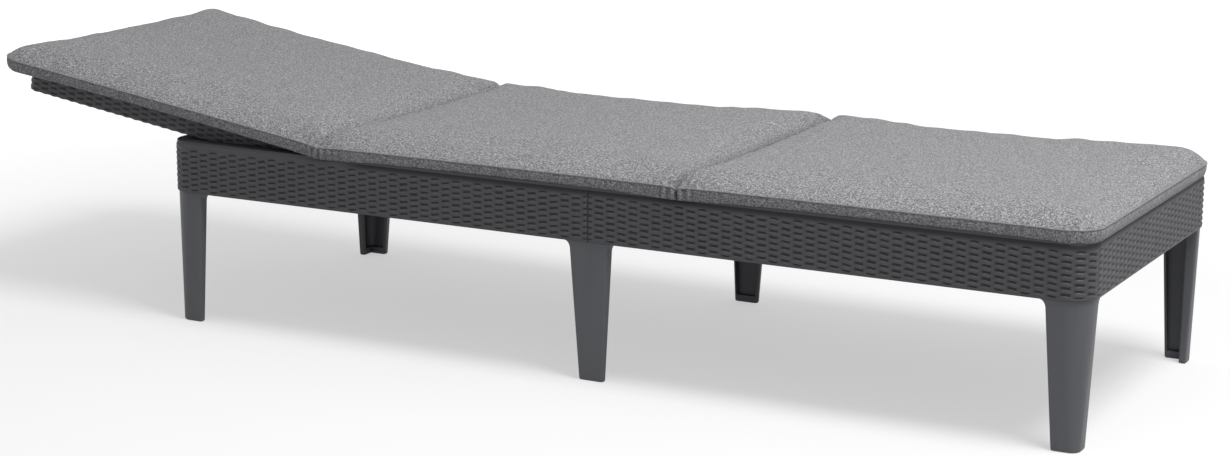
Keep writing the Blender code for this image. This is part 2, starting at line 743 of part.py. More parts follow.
def cross_ribs():
    """Corners of the cross ribs between the prop's arms, and the place of the stop rib."""
    top = HINGE_DROP - WALL / 2
    stop_rib = -BUFFER_REACH / math.cos(REST_TILT)
    reach = ARM_Y - ARM_THICKNESS - 2 * LUG_THICKNESS
    first = -4 * HINGE_DROP
    crosswise = [((x - WALL / 2, -reach, -HINGE_DROP + 2 * WALL), (x + WALL / 2, reach, top))
                 for x in (first, (stop_rib + first) / 2)]
    return crosswise, stop_rib


def backrest_panel(parent):
    """The moulded backrest: a ribbed tray with a stop rib and lugs for the prop."""
    outline = end_outline(HINGE_DROP, -PANEL_LENGTH, PANEL_HALF_WIDTH, PANEL_CORNER)
    panel = slab("backrest_panel", [panel_outline(0)], -PANEL_HALF_WIDTH, PANEL_HALF_WIDTH,
                 "XZ", parent)
    corners = slab("round_panel_corners", [outline], -PANEL_DEPTH, PANEL_DEPTH, "XY", parent)
    combine(panel, corners, "INTERSECT")
    hollow = slab("cut_panel_hollow", [panel_outline(WALL)], -PANEL_HALF_WIDTH + WALL,
                  PANEL_HALF_WIDTH - WALL, "XZ", parent)
    inside = end_outline(HINGE_DROP, -PANEL_LENGTH + WALL, PANEL_HALF_WIDTH - WALL,
                         PANEL_CORNER - WALL)
    combine(hollow, slab("round_hollow_corners", [inside], -2 * PANEL_DEPTH, 2 * PANEL_DEPTH,
                         "XY", parent), "INTERSECT")
    cut(panel, hollow)
    for label, way in SIDES.items():
        middle = way * PANEL_RIB_SPACING / 2
        join(panel, slab("add_long_rib_" + label, [long_rib_outline()], middle - WALL / 2,
                         middle + WALL / 2, "XZ", parent))
    crosswise, stop_rib = cross_ribs()
    join(panel, boxes("add_cross_ribs", crosswise, parent))
    tip_rib = (stop_rib - PANEL_LENGTH) / 2
    side = PANEL_HALF_WIDTH - WALL / 2
    full_width = [((x - WALL / 2, -side, -HINGE_DROP + extra), (x + WALL / 2, side,
                  HINGE_DROP - WALL / 2)) for x, extra in ((stop_rib, 0), (tip_rib, WALL))]
    join(panel, boxes("add_stop_ribs", full_width, parent))
    for label, way in SIDES.items():
        for number, middle in enumerate(lug_places(way), start=1):
            join(panel, slab(f"add_lug_{label}_{number}", [lug_outline()],
                             middle - LUG_THICKNESS / 2, middle + LUG_THICKNESS / 2, "XZ",
                             parent))
        cut(panel, rods("cut_prop_holes_" + label, [
            ((-PROP_LENGTH, way * ARM_Y, 0), 2 * ARM_THICKNESS + 4 * LUG_THICKNESS)],
            PROP_PIN_RADIUS + GAP, "Y", parent))
        cut(panel, rods("cut_hinge_eye_" + label, [
            ((0, way * (PANEL_HALF_WIDTH - WALL / 2), 0), 3 * WALL)],
            HINGE_PIN_RADIUS + GAP, "Y", parent, steps=20))
    return keep(panel, PLASTIC)


def lug_outline():
    """Side view of a lug: it hangs from the panel's top and is round about the prop's pin."""
    root = HINGE_DROP - WALL / 2
    half = ARM_WIDTH / 2
    return [(-PROP_LENGTH - half, root), *arc((-PROP_LENGTH, 0), half, 180, 360, 9),
            (-PROP_LENGTH + half, root)]


def lug_places(side):
    """Middles of the two lugs on either side of a prop arm."""
    reach = ARM_THICKNESS / 2 + LUG_THICKNESS / 2 + 2 * GAP
    return [side * (ARM_Y - reach), side * (ARM_Y + reach)]


def prop(parent):
    """The U-shaped prop: two flat arms with eyes, and a bar that reaches both ledges."""
    bar_half = BAY_HALF_WIDTH - RUNNING_GAP
    made = rods("prop_bail", [((-PROP_LENGTH, 0, 0), 2 * bar_half)], BAR_RADIUS, "Y", parent)
    for label, side in SIDES.items():
        low = side * ARM_Y - ARM_THICKNESS / 2
        join(made, slab("add_arm_" + label, [stadium(-PROP_LENGTH, 0, ARM_WIDTH / 2)], low,
                        low + ARM_THICKNESS, "XZ", parent))
        cut(made, rods("cut_arm_eye_" + label, [((0, side * ARM_Y, 0), 2 * ARM_THICKNESS)],
                       PROP_PIN_RADIUS + GAP, "Y", parent))
    return keep(made, LEG_PLASTIC)


def pin(name, radius, length, parent, place, side):
    """A headed pin along Y. It points outwards, with its head's seat at the given place."""
    rim = radius + PIN_HEAD_RIM
    chamfer = radius * 0.2
    profile = [(0, length), (radius - chamfer, length), (radius, length - chamfer), (radius, 0),
               (rim, 0), (rim, -PIN_HEAD + chamfer), (rim - chamfer, -PIN_HEAD), (0, -PIN_HEAD)]
    made = turned(name, profile, steps=20)
    made.parent = parent
    made.location = place
    made.rotation_euler = (-side * math.pi / 2, 0, 0)
    return keep(made, LEG_PLASTIC)


def pins(backrest_pivot):
    """Two pins that carry the backrest and two that carry the prop."""
    hinge_seat = PANEL_HALF_WIDTH - WALL - GAP
    hinge_tip = HALF_WIDTH - 3 * WALL
    lug_reach = ARM_THICKNESS / 2 + LUG_THICKNESS + 3 * GAP
    for label, side in SIDES.items():
        pin("hinge_pin_" + label, HINGE_PIN_RADIUS, hinge_tip - hinge_seat, None,
            (HINGE_X, side * hinge_seat, HINGE_Z), side)
        pin("prop_pin_" + label, PROP_PIN_RADIUS, 2 * lug_reach + 2 * GAP, backrest_pivot,
            (-PROP_LENGTH, side * (ARM_Y - lug_reach), 0), side)


def buffers():
    """Two rubber buffers on the head rim, sloped to the lowered backrest's stop rib."""
    x = HINGE_X - BUFFER_REACH
    slope = math.tan(REST_TILT)
    rib_bottom = HINGE_Z - HINGE_DROP / math.cos(REST_TILT)

    def height(at):
        return rib_bottom + (HINGE_X - at) * slope - GAP

    low, high = x - BUFFER_LENGTH / 2, x + BUFFER_LENGTH / 2
    outline = [(low, RIM_TOP + GAP), (high, RIM_TOP + GAP), (high, height(high)),
               (low, height(low))]
    for label, side in SIDES.items():
        middle = side * BUFFER_SPACING / 2
        keep(slab("stop_buffer_" + label, [outline], middle - BUFFER_WIDTH / 2,
                  middle + BUFFER_WIDTH / 2, "XZ"), RUBBER)


# Cushion

def pad(name, outline, low, high, parent=None):
    """A cushion panel: a slab whose long edges are rounded."""
    made = slab(name, [outline], low, high, "XY", parent)
    bevel = made.modifiers.new("edge", "BEVEL")
    bevel.width = CUSHION_EDGE
    bevel.segments = 2
    bevel.limit_method = "ANGLE"
    bevel.angle_limit = math.radians(50)
    return made


def fold_wedge(name, side, parent=None):
    """A cutter that slopes a pad's end away from the hinge axis, so the fold can close.

    It is measured from the hinge axis, and side is the side of the axis that the pad is on.
    """
    lean = TOP_TILT / 2 + FOLD_MARGIN
    tall = HINGE_DROP + 2 * CUSHION_THICKNESS
    outline = [(0, 0), (side * tall * math.tan(lean), tall), (-side * tall, tall),
               (-side * tall, 0)]
    return slab(name, [outline], -FRAME_WIDTH, FRAME_WIDTH, "XZ", parent)


def cushion(backrest_pivot):
    """Three panels: one on the backrest, one on the seat and one on the foot half."""
    half_width = HALF_WIDTH - CUSHION_SIDE_INSET
    base = HINGE_DROP + GAP
    back = pad("cushion_back", end_outline(0, -CUSHION_REACH, half_width, CUSHION_CORNER),
               base, base + CUSHION_THICKNESS, backrest_pivot)
    cut(back, fold_wedge("cut_back_fold", -1, backrest_pivot))
    keep(back, CLOTH)

    low, high = RIM_TOP + GAP, RIM_TOP + GAP + CUSHION_THICKNESS
    fold = FRAME_X + FOLD_PAST_SEAM
    seat_end = fold - CUSHION_GAP / 2
    outline = [(HINGE_X, -half_width), (seat_end, -half_width), (seat_end, half_width),
               (HINGE_X, half_width)]
    seat = pad("cushion_seat", outline, low, high)
    seat_fold = fold_wedge("cut_seat_fold", 1)
    seat_fold.location = (HINGE_X, 0, HINGE_Z)
    cut(seat, seat_fold)
    keep(seat, CLOTH)

    tip = FRAME_X + HALF_LENGTH - CUSHION_FOOT_INSET
    keep(pad("cushion_foot", end_outline(fold + CUSHION_GAP / 2, tip, half_width,
                                         CUSHION_CORNER), low, high), CLOTH)


def build():
    """Makes the whole lounger with the backrest at its lowest position."""
    clear_scene()
    frame_head_half()
    frame_foot_half()
    legs()
    screws()
    backrest_pivot = pivot("backrest_pivot", (HINGE_X, 0, HINGE_Z), REST_TILT)
    prop_pivot = pivot("prop_pivot", (-PROP_LENGTH, 0, 0), -2 * REST_TILT, backrest_pivot)
    backrest_panel(backrest_pivot)
    prop(prop_pivot)
    pins(backrest_pivot)
    buffers()
    cushion(backrest_pivot)


build()
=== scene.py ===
import json
import math

import bmesh
import bpy
import numpy as np
from mathutils import Matrix, Vector


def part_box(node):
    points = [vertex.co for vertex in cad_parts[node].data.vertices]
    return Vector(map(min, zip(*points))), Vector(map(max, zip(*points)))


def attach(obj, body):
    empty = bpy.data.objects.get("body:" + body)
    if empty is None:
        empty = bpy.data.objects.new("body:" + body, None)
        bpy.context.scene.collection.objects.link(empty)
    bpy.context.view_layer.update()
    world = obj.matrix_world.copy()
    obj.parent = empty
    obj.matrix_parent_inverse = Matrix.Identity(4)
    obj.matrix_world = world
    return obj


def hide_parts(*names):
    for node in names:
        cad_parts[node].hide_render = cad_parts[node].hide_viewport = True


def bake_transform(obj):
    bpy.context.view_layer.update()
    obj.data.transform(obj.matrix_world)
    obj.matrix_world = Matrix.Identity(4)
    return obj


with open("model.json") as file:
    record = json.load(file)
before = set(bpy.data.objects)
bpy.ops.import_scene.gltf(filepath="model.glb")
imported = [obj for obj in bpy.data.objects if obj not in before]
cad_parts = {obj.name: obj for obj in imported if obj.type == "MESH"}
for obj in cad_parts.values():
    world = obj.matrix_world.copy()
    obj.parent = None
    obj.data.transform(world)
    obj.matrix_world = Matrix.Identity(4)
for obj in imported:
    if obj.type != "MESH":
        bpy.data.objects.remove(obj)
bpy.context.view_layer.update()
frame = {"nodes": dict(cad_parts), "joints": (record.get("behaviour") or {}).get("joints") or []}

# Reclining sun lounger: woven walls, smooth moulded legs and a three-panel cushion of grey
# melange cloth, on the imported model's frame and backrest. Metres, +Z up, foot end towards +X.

NODES = frame["nodes"]
HINGE = np.array(next(j for j in frame["joints"] if j["name"] == "recline")["pos_m"])
PROP_PIVOT = np.array(next(j for j in frame["joints"] if j["name"] == "prop_fold")["pos_m"])
TILT = math.atan2(PROP_PIVOT[2] - HINGE[2], HINGE[0] - PROP_PIVOT[0])

# The frame's moulding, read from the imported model
HEAD_LOW, HEAD_HIGH = (np.array(v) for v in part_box("frame_head_half"))
FOOT_LOW, FOOT_HIGH = (np.array(v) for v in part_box("frame_foot_half"))
SEAM_X = (HEAD_HIGH[0] + FOOT_LOW[0]) / 2
HALF_LENGTH = (FOOT_HIGH[0] - HEAD_LOW[0]) / 2
HALF_WIDTH = FOOT_HIGH[1]
RIM_TOP = FOOT_HIGH[2]
UNDERSIDE = FOOT_LOW[2]
CORNER_RADIUS = 0.040
RIM_ROUNDING = 0.008

# Weave of the walls
STRAND_PITCH = 0.0046       # from one strand to the next above it
COLUMN_PITCH = 0.0188       # from one stake to the next along the wall
COLUMN_STEPS = 7
STRAND_ROWS = (-1.75, -1.15, -0.7, 0.0, 0.7, 1.15, 1.75)   # mm, rows of points in one strand
WEAVE_DEPTH = 0.0019
STRAND_GAP = 0.00130        # half the width of a strand where it passes behind a stake
PLAIN_SHARE = 0.66          # height of a smooth band, as a share of the weave's depth
PLAIN_TOP = 0.0115          # smooth band above the weave
PLAIN_BOTTOM = 0.0035
SEAM_GROOVE = 0.0006        # half width of the groove between the frame's halves
RIM_LIP = 0.010             # how far a skin goes in over the rim, past the rim's arc
EDGE_ROW = 0.0006           # from a skin's edge to its next row of points
EDGE_GAP = 0.0003           # from a skin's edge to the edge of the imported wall
SKIN_LIFT = 0.00015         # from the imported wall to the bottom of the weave
SKIN_SUNK = 0.0007          # how far a skin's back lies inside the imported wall

# Backrest skirt
PANEL_LENGTH = 0.607
PANEL_HALF_WIDTH = 0.262
PANEL_HALF_DEPTH = 0.017
PANEL_CORNER = 0.022
SKIRT_START = 0.022         # from the hinge axis to the skirt's open end
SKIRT_DEPTH = 0.0013        # depth of the weave on the skirt
SKIRT_SCALLOP = 0.0011      # how far the skirt's bottom edge dips at each stake

# Cushion
PAD_THICKNESS = 0.036
PAD_HALF_WIDTH = 0.2905
PAD_CORNER = 0.044
PAD_BAND = 0.0152           # height of the side band, up to the seam
PAD_SWELL = 0.0025          # how far the seam stands out past the pad's base
PAD_ROLL = 0.042            # how far the top takes to rise from the seam
PAD_OVERHANG = 0.039
PAD_FOOT_INSET = -0.0015    # past the end of the frame
FOLD_HEIGHT = 0.0120        # height of the cloth at a fold
FOLD_ROLL = 0.022
FOLD_PAST_SEAM = 0.147
GATHER_PITCH = 0.0135       # from one pucker to the next beside a fold
PAD_STEP = 0.0066
PAD_CROWN = 0.0015          # how far a pad's middle stands above its sides
PAD_DROOP = 0.0050          # how far the base hangs over the rim at a pad's ends
PAD_DROOP_HELD = 0.0032     # and how much less it hangs in the middle
PAD_WAIST = 0.0022          # how far the sides pull in between the ends
PAD_PUCKER = 0.0095         # how far the band puffs out between two gathers
PAD_LIFT = 0.0006           # from the rim to the pad's base
ON_OUTLINE = 0.0005         # points nearer to the outline than this are on it
PIPING_RADIUS = 0.0013
PIPING_SIDES = 8
PIPING_STEP = 0.0035
PIPING_END = 0.0006         # from a fold to the end of the cord
CLOTH_CAP = 0.005           # the most that the simulation moves a point
CLOTH_PRESSURE = 4.0
CLOTH_STEPS = 20

# Legs
LEG_TOP = UNDERSIDE - 0.0003
LEG_FLARE = 0.012
LEG_FLARE_REACH = 0.0096
LEG_LEAN_SOLE = 0.0105      # from the frame's outer face in to a leg's, at the sole
LEG_LEAN_TOP = 0.0012       # and at the leg's top
SOLE_ROUNDING = 0.0022
LEG_EDGE = 0.0028
MID_LEG_EDGE = 0.0045
SHELL_PROUD = 0.00035       # a leg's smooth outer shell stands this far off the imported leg
SHELL_SUNK = 0.0009         # and reaches this far into it


# Stage, with places measured from the seam of the frame
FLOOR_HALF = 40.0
KEY_PLACE = (SEAM_X + 2.0, -0.7, 4.0)
KEY_SIZE = 1.7
KEY_POWER = 165
CAMERA_PLACE = (SEAM_X + 1.7993, -3.6138, 1.0863)
CAMERA_ANGLES = (27.814, 12.6557, 0.3)      # degrees round, up, and leaning sideways
CAMERA_LENS = 76.78


# Meshes

def mesh_object(name, points, faces, smooth=True):
    """An object from an array of points and a list or array of faces, shaded smooth."""
    mesh = bpy.data.meshes.new(name)
    if isinstance(faces, np.ndarray) and faces.shape[1] == 4:
        mesh.vertices.add(len(points))
        mesh.vertices.foreach_set("co", np.ascontiguousarray(points, np.float32).ravel())
        mesh.loops.add(faces.size)
        mesh.loops.foreach_set("vertex_index", np.ascontiguousarray(faces, np.int32).ravel())
        mesh.polygons.add(len(faces))
        mesh.polygons.foreach_set("loop_start", np.arange(0, faces.size, 4, dtype=np.int32))
        mesh.update(calc_edges=True)
        mesh.validate()
    else:
        mesh.from_pydata(points.tolist(), [], [list(f) for f in faces])
    if smooth:
        mesh.shade_smooth()
    made = bpy.data.objects.new(name, mesh)
    bpy.context.scene.collection.objects.link(made)
    return made


def grid_faces(rows, columns, wrap_rows=False, wrap_columns=False):
    """Quads of a grid of points in row order; either way round may close on itself."""
    r = np.arange(rows if wrap_rows else rows - 1)
    c = np.arange(columns if wrap_columns else columns - 1)
    r, c = np.meshgrid(r, c, indexing="ij")
    r2, c2 = (r + 1) % rows, (c + 1) % columns
    quads = np.stack([r * columns + c, r * columns + c2, r2 * columns + c2, r2 * columns + c], -1)
    return quads.reshape(-1, 4)


def outward(made):
    """Turns a closed mesh's faces outwards."""
    bm = bmesh.new()
    bm.from_mesh(made.data)
    bmesh.ops.recalc_face_normals(bm, faces=bm.faces)
    if bm.calc_volume(signed=True) < 0:
        bmesh.ops.reverse_faces(bm, faces=bm.faces)
    bm.to_mesh(made.data)
    bm.free()
    return made


def point_attribute(made, name, values):
    """Stores one number for each point of a mesh."""
    layer = made.data.attributes.new(name, "FLOAT", "POINT")
    layer.data.foreach_set("value", np.ascontiguousarray(values, np.float32).ravel())


def place_attribute(made, name, values):
    """Stores one vector for each point of a mesh."""
    layer = made.data.attributes.new(name, "FLOAT_VECTOR", "POINT")
    layer.data.foreach_set("vector", np.ascontiguousarray(values, np.float32).ravel())


def smooth_step(low, high, value):
    """0 below low, 1 above high, and an S curve between them."""
    t = np.clip((value - low) / (high - low), 0, 1)
    return t * t * (3 - 2 * t)


def wobble(value, seed, count=5):
    """A smooth irregular curve from -1 to 1: a sum of sines of unrelated lengths."""
    draw = np.random.default_rng(seed)
    total = np.zeros_like(value)
    for i in range(count):
        total += np.sin(value * (1 + 1.37 * i) * draw.uniform(0.8, 1.2) + draw.uniform(0, 6.28))
    return total / count


# Shader nodes

class Wire:
    """A shader socket that takes part in sums: each operator adds one Math node."""

    def __init__(self, finish, socket):
        self.finish = finish
        self.socket = socket

    def __add__(self, other):
        return self.finish.sum("ADD", self, other)

    __radd__ = __add__

    def __mul__(self, other):
        return self.finish.sum("MULTIPLY", self, other)

    __rmul__ = __mul__

    def __sub__(self, other):
        return self.finish.sum("SUBTRACT", self, other)

    def __rsub__(self, other):
        return self.finish.sum("SUBTRACT", other, self)

    def __truediv__(self, other):
        return self.finish.sum("DIVIDE", self, other)

    def __pow__(self, other):
        return self.finish.sum("POWER", self, other)


class Finish:
    """A material and its node tree, with one method that adds any node."""

    def __init__(self, name, **fixed):
        self.material = bpy.data.materials.new(name)
        self.material.use_nodes = True
        self.tree = self.material.node_tree
        self.shader = self.tree.nodes["Principled BSDF"]
        for key, value in fixed.items():
            self.shader.inputs[key.replace("_", " ")].default_value = value

    def node(self, kind, settings=None, inputs=None, output=0):
        """Adds a node, sets it up, fills its sockets and returns one of its outputs."""
        made = self.tree.nodes.new("ShaderNode" + kind)
        for key, value in (settings or {}).items():
            if key == "stops":
                ramp = made.color_ramp.elements
                for i, (place, colour) in enumerate(value):
                    stop = ramp[i] if i < 2 else ramp.new(place)
                    stop.position = place
                    stop.color = (*colour, 1.0)
            else:
                setattr(made, key, value)
        for key, value in (inputs or {}).items():
            self.fill(made.inputs[key], value)
        return Wire(self, made.outputs[output])

    def fill(self, socket, value):
        """Links a wire to a socket, or sets the socket's own value."""
        if isinstance(value, Wire):
            self.tree.links.new(value.socket, socket)
        elif isinstance(value, tuple) and len(value) == 3 and socket.type == "RGBA":
            socket.default_value = (*value, 1.0)
        else:
            socket.default_value = value

    def sum(self, operation, a, b):
        """One Math node on two wires or numbers."""
        return self.node("Math", {"operation": operation}, {0: a, 1: b})

    def mix(self, factor, a, b):
        """A mix of two colours, which may be wires."""
        return self.node("Mix", {"data_type": "RGBA"}, {0: factor, 6: a, 7: b}, 2)

    def level(self, value, low, high, to_low=0.0, to_high=1.0):
        """A number's range carried over to another range, and held inside it."""
        return self.node("MapRange", None, {"Value": value, "From Min": low, "From Max": high,
                                            "To Min": to_low, "To Max": to_high})

    def noise(self, place, scale, detail=3.0, roughness=0.55, stretch=None):
        """Noise at a place, with an own scale along each axis where stretch is given."""
        if stretch:
            place = self.node("Mapping", None, {"Vector": place, "Scale": stretch})
        return self.node("TexNoise", None, {"Vector": place, "Scale": scale, "Detail": detail,
                                            "Roughness": roughness})

    def here(self):
        """Object coordinates, in metres."""
        return self.node("TexCoord", None, None, "Object")

    def attribute(self, name, output="Fac"):
        """A value stored on the piece's points."""
        return self.node("Attribute", {"attribute_name": name}, None, output)

    def bump(self, height, distance, strength=1.0, before=None):
        """A Bump node on a height in metres; before is an earlier bump that it adds to."""
        inputs = {"Height": height, "Distance": distance, "Strength": strength}
        if before:
            inputs["Normal"] = before
        return self.node("Bump", None, inputs)

    def wear(self, **wires):
        """Links wires to the shader's sockets, by socket name."""
        for key, value in wires.items():
            self.fill(self.shader.inputs[key.replace("_", " ")], value)
        return self.material


def woven_resin():
    """Graphite resin of the walls: painted shade in the gaps, a painted highlight on the crowns,
    painted shadow under the cushion.
    """
    made = Finish("woven_resin", Specular_IOR_Level=0.42)
    here = made.here()
    depth = made.attribute("relief")
    cloud = made.noise(here, 14.0, 2.0)
    grain = made.noise(here, 900.0, 2.0)
    streak = made.noise(here, 1.0, 2.0, 0.6, (70.0, 70.0, 900.0))
    # Painted shade: where the relief is low, in the gaps between strands, the colour is near black.
    tone = made.mix(made.level(depth, 0.14, 0.42), (0.004, 0.004, 0.006), (0.074, 0.073, 0.081))
    # Painted highlight: where the relief is high, on the strands' crowns, the colour is paler.
    tone = made.mix(made.level(depth, 0.6, 1.0, 0.0, 0.5), tone, (0.098, 0.097, 0.106))
    tone = made.mix(made.level(cloud, 0.35, 0.7, 0.0, 0.14), tone, (0.090, 0.092, 0.098))
    # Painted shadow: the strip under the cushion's edge is coloured near black, as the cushion's
    # shadow on the rim.
    tone = made.mix(made.attribute("under_pad") * 0.92, tone, (0.006, 0.006, 0.007))
    rough = 0.50 + streak * 0.14 - cloud * 0.08
    height = grain * 0.5 + streak * 0.5
    return made.wear(Base_Color=tone, Roughness=rough, Normal=made.bump(height, 0.00025, 0.35))


def plain_resin():
    """Graphite resin of the mouldings' smooth and hidden faces, with a fine spark grain."""
    made = Finish("plain_resin", Specular_IOR_Level=0.42)
    here = made.here()
    cloud = made.noise(here, 11.0, 3.0)
    grain = made.noise(here, 1400.0, 2.0)
    tone = made.mix(made.level(cloud, 0.3, 0.7), (0.054, 0.054, 0.060), (0.066, 0.066, 0.073))
    rough = 0.46 + grain * 0.10 + cloud * 0.06
    return made.wear(Base_Color=tone, Roughness=rough, Normal=made.bump(grain, 0.00015, 0.35))


def leg_resin():
    """Smooth satin resin of the legs, pins and prop, with faint flow marks and rubbed soles."""
    made = Finish("leg_resin", Specular_IOR_Level=0.45)
    here = made.here()
    flow = made.noise(here, 1.0, 3.0, 0.5, (30.0, 30.0, 5.0))
    grain = made.noise(here, 1600.0, 2.0)
    height = made.node("SeparateXYZ", None, {0: here}, "Z")
    scuff = made.level(height, 0.0, 0.018, 1.0, 0.0) * made.level(made.noise(here, 260.0), 0.45, 0.6)
    tone = made.mix(made.level(flow, 0.3, 0.7), (0.098, 0.101, 0.112), (0.116, 0.119, 0.131))
    tone = made.mix(scuff * 0.5, tone, (0.15, 0.15, 0.155))
    rough = 0.36 + grain * 0.08 + flow * 0.10 + scuff * 0.2
    return made.wear(Base_Color=tone, Roughness=rough, Normal=made.bump(grain, 0.0001, 0.3))


def melange_cloth():
    """Grey outdoor cloth: dark and pale yarns woven square, with slubs, a soft nap and painted shade
    along the folds.
    """
    made = Finish("melange_cloth", Sheen_Weight=0.18, Sheen_Roughness=0.45,
                  Specular_IOR_Level=0.2)
    here = made.attribute("cloth_place", "Vector")
    warp = made.noise(here, 1.0, 2.0, 0.65, (260.0, 640.0, 640.0))
    weft = made.noise(here, 1.0, 2.0, 0.65, (640.0, 260.0, 640.0))
    fleck = made.noise(here, 560.0, 3.0, 0.8)
    coarse = made.noise(here, 300.0, 2.0, 0.7)
    cloud = made.noise(here, 22.0, 2.0)
    yarn = warp * 0.5 + weft * 0.5
    shade = made.level(yarn, 0.38, 0.62) * 0.35 + made.level(fleck, 0.38, 0.62) * 0.40 \
        + made.level(coarse, 0.36, 0.64) * 0.25
    tone = made.node("ValToRGB", {"stops": [(0.20, (0.088, 0.088, 0.096)),
                                            (0.82, (0.52, 0.52, 0.535)),
                                            (0.48, (0.215, 0.215, 0.226))]}, {0: shade})
    tone = made.mix(made.level(cloud, 0.35, 0.65, 0.0, 0.10), tone, (0.20, 0.20, 0.212))
    # Painted shade: darker along the folds and in the valleys between the gathers, where shade
    # falls.
    tone = made.mix(made.attribute("crease") * 0.75, tone, (0.05, 0.05, 0.055))
    threads = made.noise(here, 1.0, 1.0, 0.5, (260.0, 1500.0, 1500.0)) * 0.5 \
        + made.noise(here, 1.0, 1.0, 0.5, (1500.0, 260.0, 1500.0)) * 0.5
    soft = made.bump(cloud, 0.004, 0.25)
    rough = 0.84 + threads * 0.12
    return made.wear(Base_Color=tone, Roughness=rough,
                     Normal=made.bump(threads, 0.0006, 0.55, soft))


def piping_cloth():
    """The same cloth, wound tight round the seam's cord, a little darker."""
    made = Finish("piping_cloth", Sheen_Weight=0.1, Specular_IOR_Level=0.2)
    here = made.here()
    fleck = made.noise(here, 640.0, 3.0, 0.7)
    tone = made.mix(made.level(fleck, 0.35, 0.65), (0.14, 0.14, 0.15), (0.36, 0.36, 0.375))
    return made.wear(Base_Color=tone, Roughness=0.85 + fleck * 0.1,
                     Normal=made.bump(fleck, 0.0004, 0.5))


def zinc_steel():
    """Zinc-plated steel with a faint brushed grain."""
    made = Finish("zinc_steel", Metallic=1.0)
    here = made.here()
    brush = made.noise(here, 1.0, 3.0, 0.6, (900.0, 900.0, 60.0))
    tone = made.mix(made.level(brush, 0.3, 0.7), (0.46, 0.46, 0.48), (0.60, 0.60, 0.61))
    return made.wear(Base_Color=tone, Roughness=0.28 + brush * 0.2,
                     Normal=made.bump(brush, 0.0001, 0.3))


def black_rubber():
    """Matt black rubber with a bloom of dust."""
    made = Finish("black_rubber", Specular_IOR_Level=0.3)
    here = made.here()
    dust = made.noise(here, 180.0, 4.0, 0.7)
    tone = made.mix(made.level(dust, 0.4, 0.75), (0.016, 0.016, 0.016), (0.045, 0.044, 0.042))
    return made.wear(Base_Color=tone, Roughness=0.78 + dust * 0.15,
                     Normal=made.bump(dust, 0.0003, 0.4))


# Woven skins

def strand_relief(along, up, rows):
    """Height of the weave at places along and up a wall, from 0 in a gap to WEAVE_DEPTH.

    Strand j lies at up = j * pitch and passes over the stakes whose number has the same parity
    as j. Over a stake a strand is high and wide and nearly hides the two strands that pass
    behind it, which leaves one short dark gap between each pair of strands above each other.
    Half way between two stakes all strands are level and equally wide.
    """
    stake = np.round(along / COLUMN_PITCH)
    swing = np.cos(math.pi * (along / COLUMN_PITCH - stake))
    gap = STRAND_GAP * (1 + 0.25 * np.sin(stake * 5.1 + rows * 2.3))
    best = np.zeros(up.shape)
    nearest = np.round(up / STRAND_PITCH)
    for shift in (-1, 0, 1):
        strand = nearest + shift
        over = (np.mod(strand + stake, 2) < 0.5)
        reach = np.where(over, STRAND_PITCH / 2 + (STRAND_PITCH / 2 - gap) * swing,
                         STRAND_PITCH / 2 - (STRAND_PITCH / 2 - gap) * swing)
        high = np.where(over, 0.46 + 0.50 * swing ** 0.7, 0.44 - 0.42 * swing)
        high = high * (1 + 0.06 * np.sin(strand * 7.7 + stake * 3.1))
        across = np.clip(np.abs(up - strand * STRAND_PITCH) / np.maximum(reach, 1e-5), 0, 1)
        best = np.maximum(best, high * (1 - across ** 4.5) ** 0.6 * (across < 1))
    best = np.maximum(best, 0.40 - 0.40 * smooth_step(0.30, 0.86, swing))
    return np.clip(best, 0, 1) * WEAVE_DEPTH


def strand_lean(along, up):
    """How far the weave's rows are shifted up: a wave that slants each gap, and a slow drift."""
    turn = 2 * math.pi * along / COLUMN_PITCH
    slant = 0.00062 * (0.75 + 0.55 * wobble(along * 31.0, 5)) * (1 + 0.4 * np.sin(up * 610.0))
    return 0.0004 * wobble(along * 47.0, 6) - slant * np.sin(turn)


def skin_rows(low, high, weave_low, weave_high, rounding, inward):
    """Rows of a wall's section, bottom to top: (height on the wall, arc share, inward).

    The weave's rows are closer together at the gaps between strands. Past the wall's top, rows
    go round the rim's arc and then inwards.
    """
    first = math.ceil((weave_low - low) / STRAND_PITCH)
    last = math.floor((weave_high - low) / STRAND_PITCH)
    woven = [low + j * STRAND_PITCH + v / 1000 for j in range(first, last + 1)
             for v in STRAND_ROWS]
    woven = [h for h in woven if weave_low < h < weave_high]
    clear = 0.0016
    wall = [low, low + EDGE_ROW, low + 2 * EDGE_ROW]
    wall += [h for h in woven if low + clear < h < high - clear]
    wall += [h for h in (high - 2 * EDGE_ROW, high - EDGE_ROW, high) if h > wall[-1]]
    rows = [(h, 0.0, 0.0) for h in wall]
    if rounding > 0:
        rows += [(high, s, 0.0) for s in np.linspace(0, 1, 8)[1:]]
        rows += [(high, 1.0, inward)]
    return rows


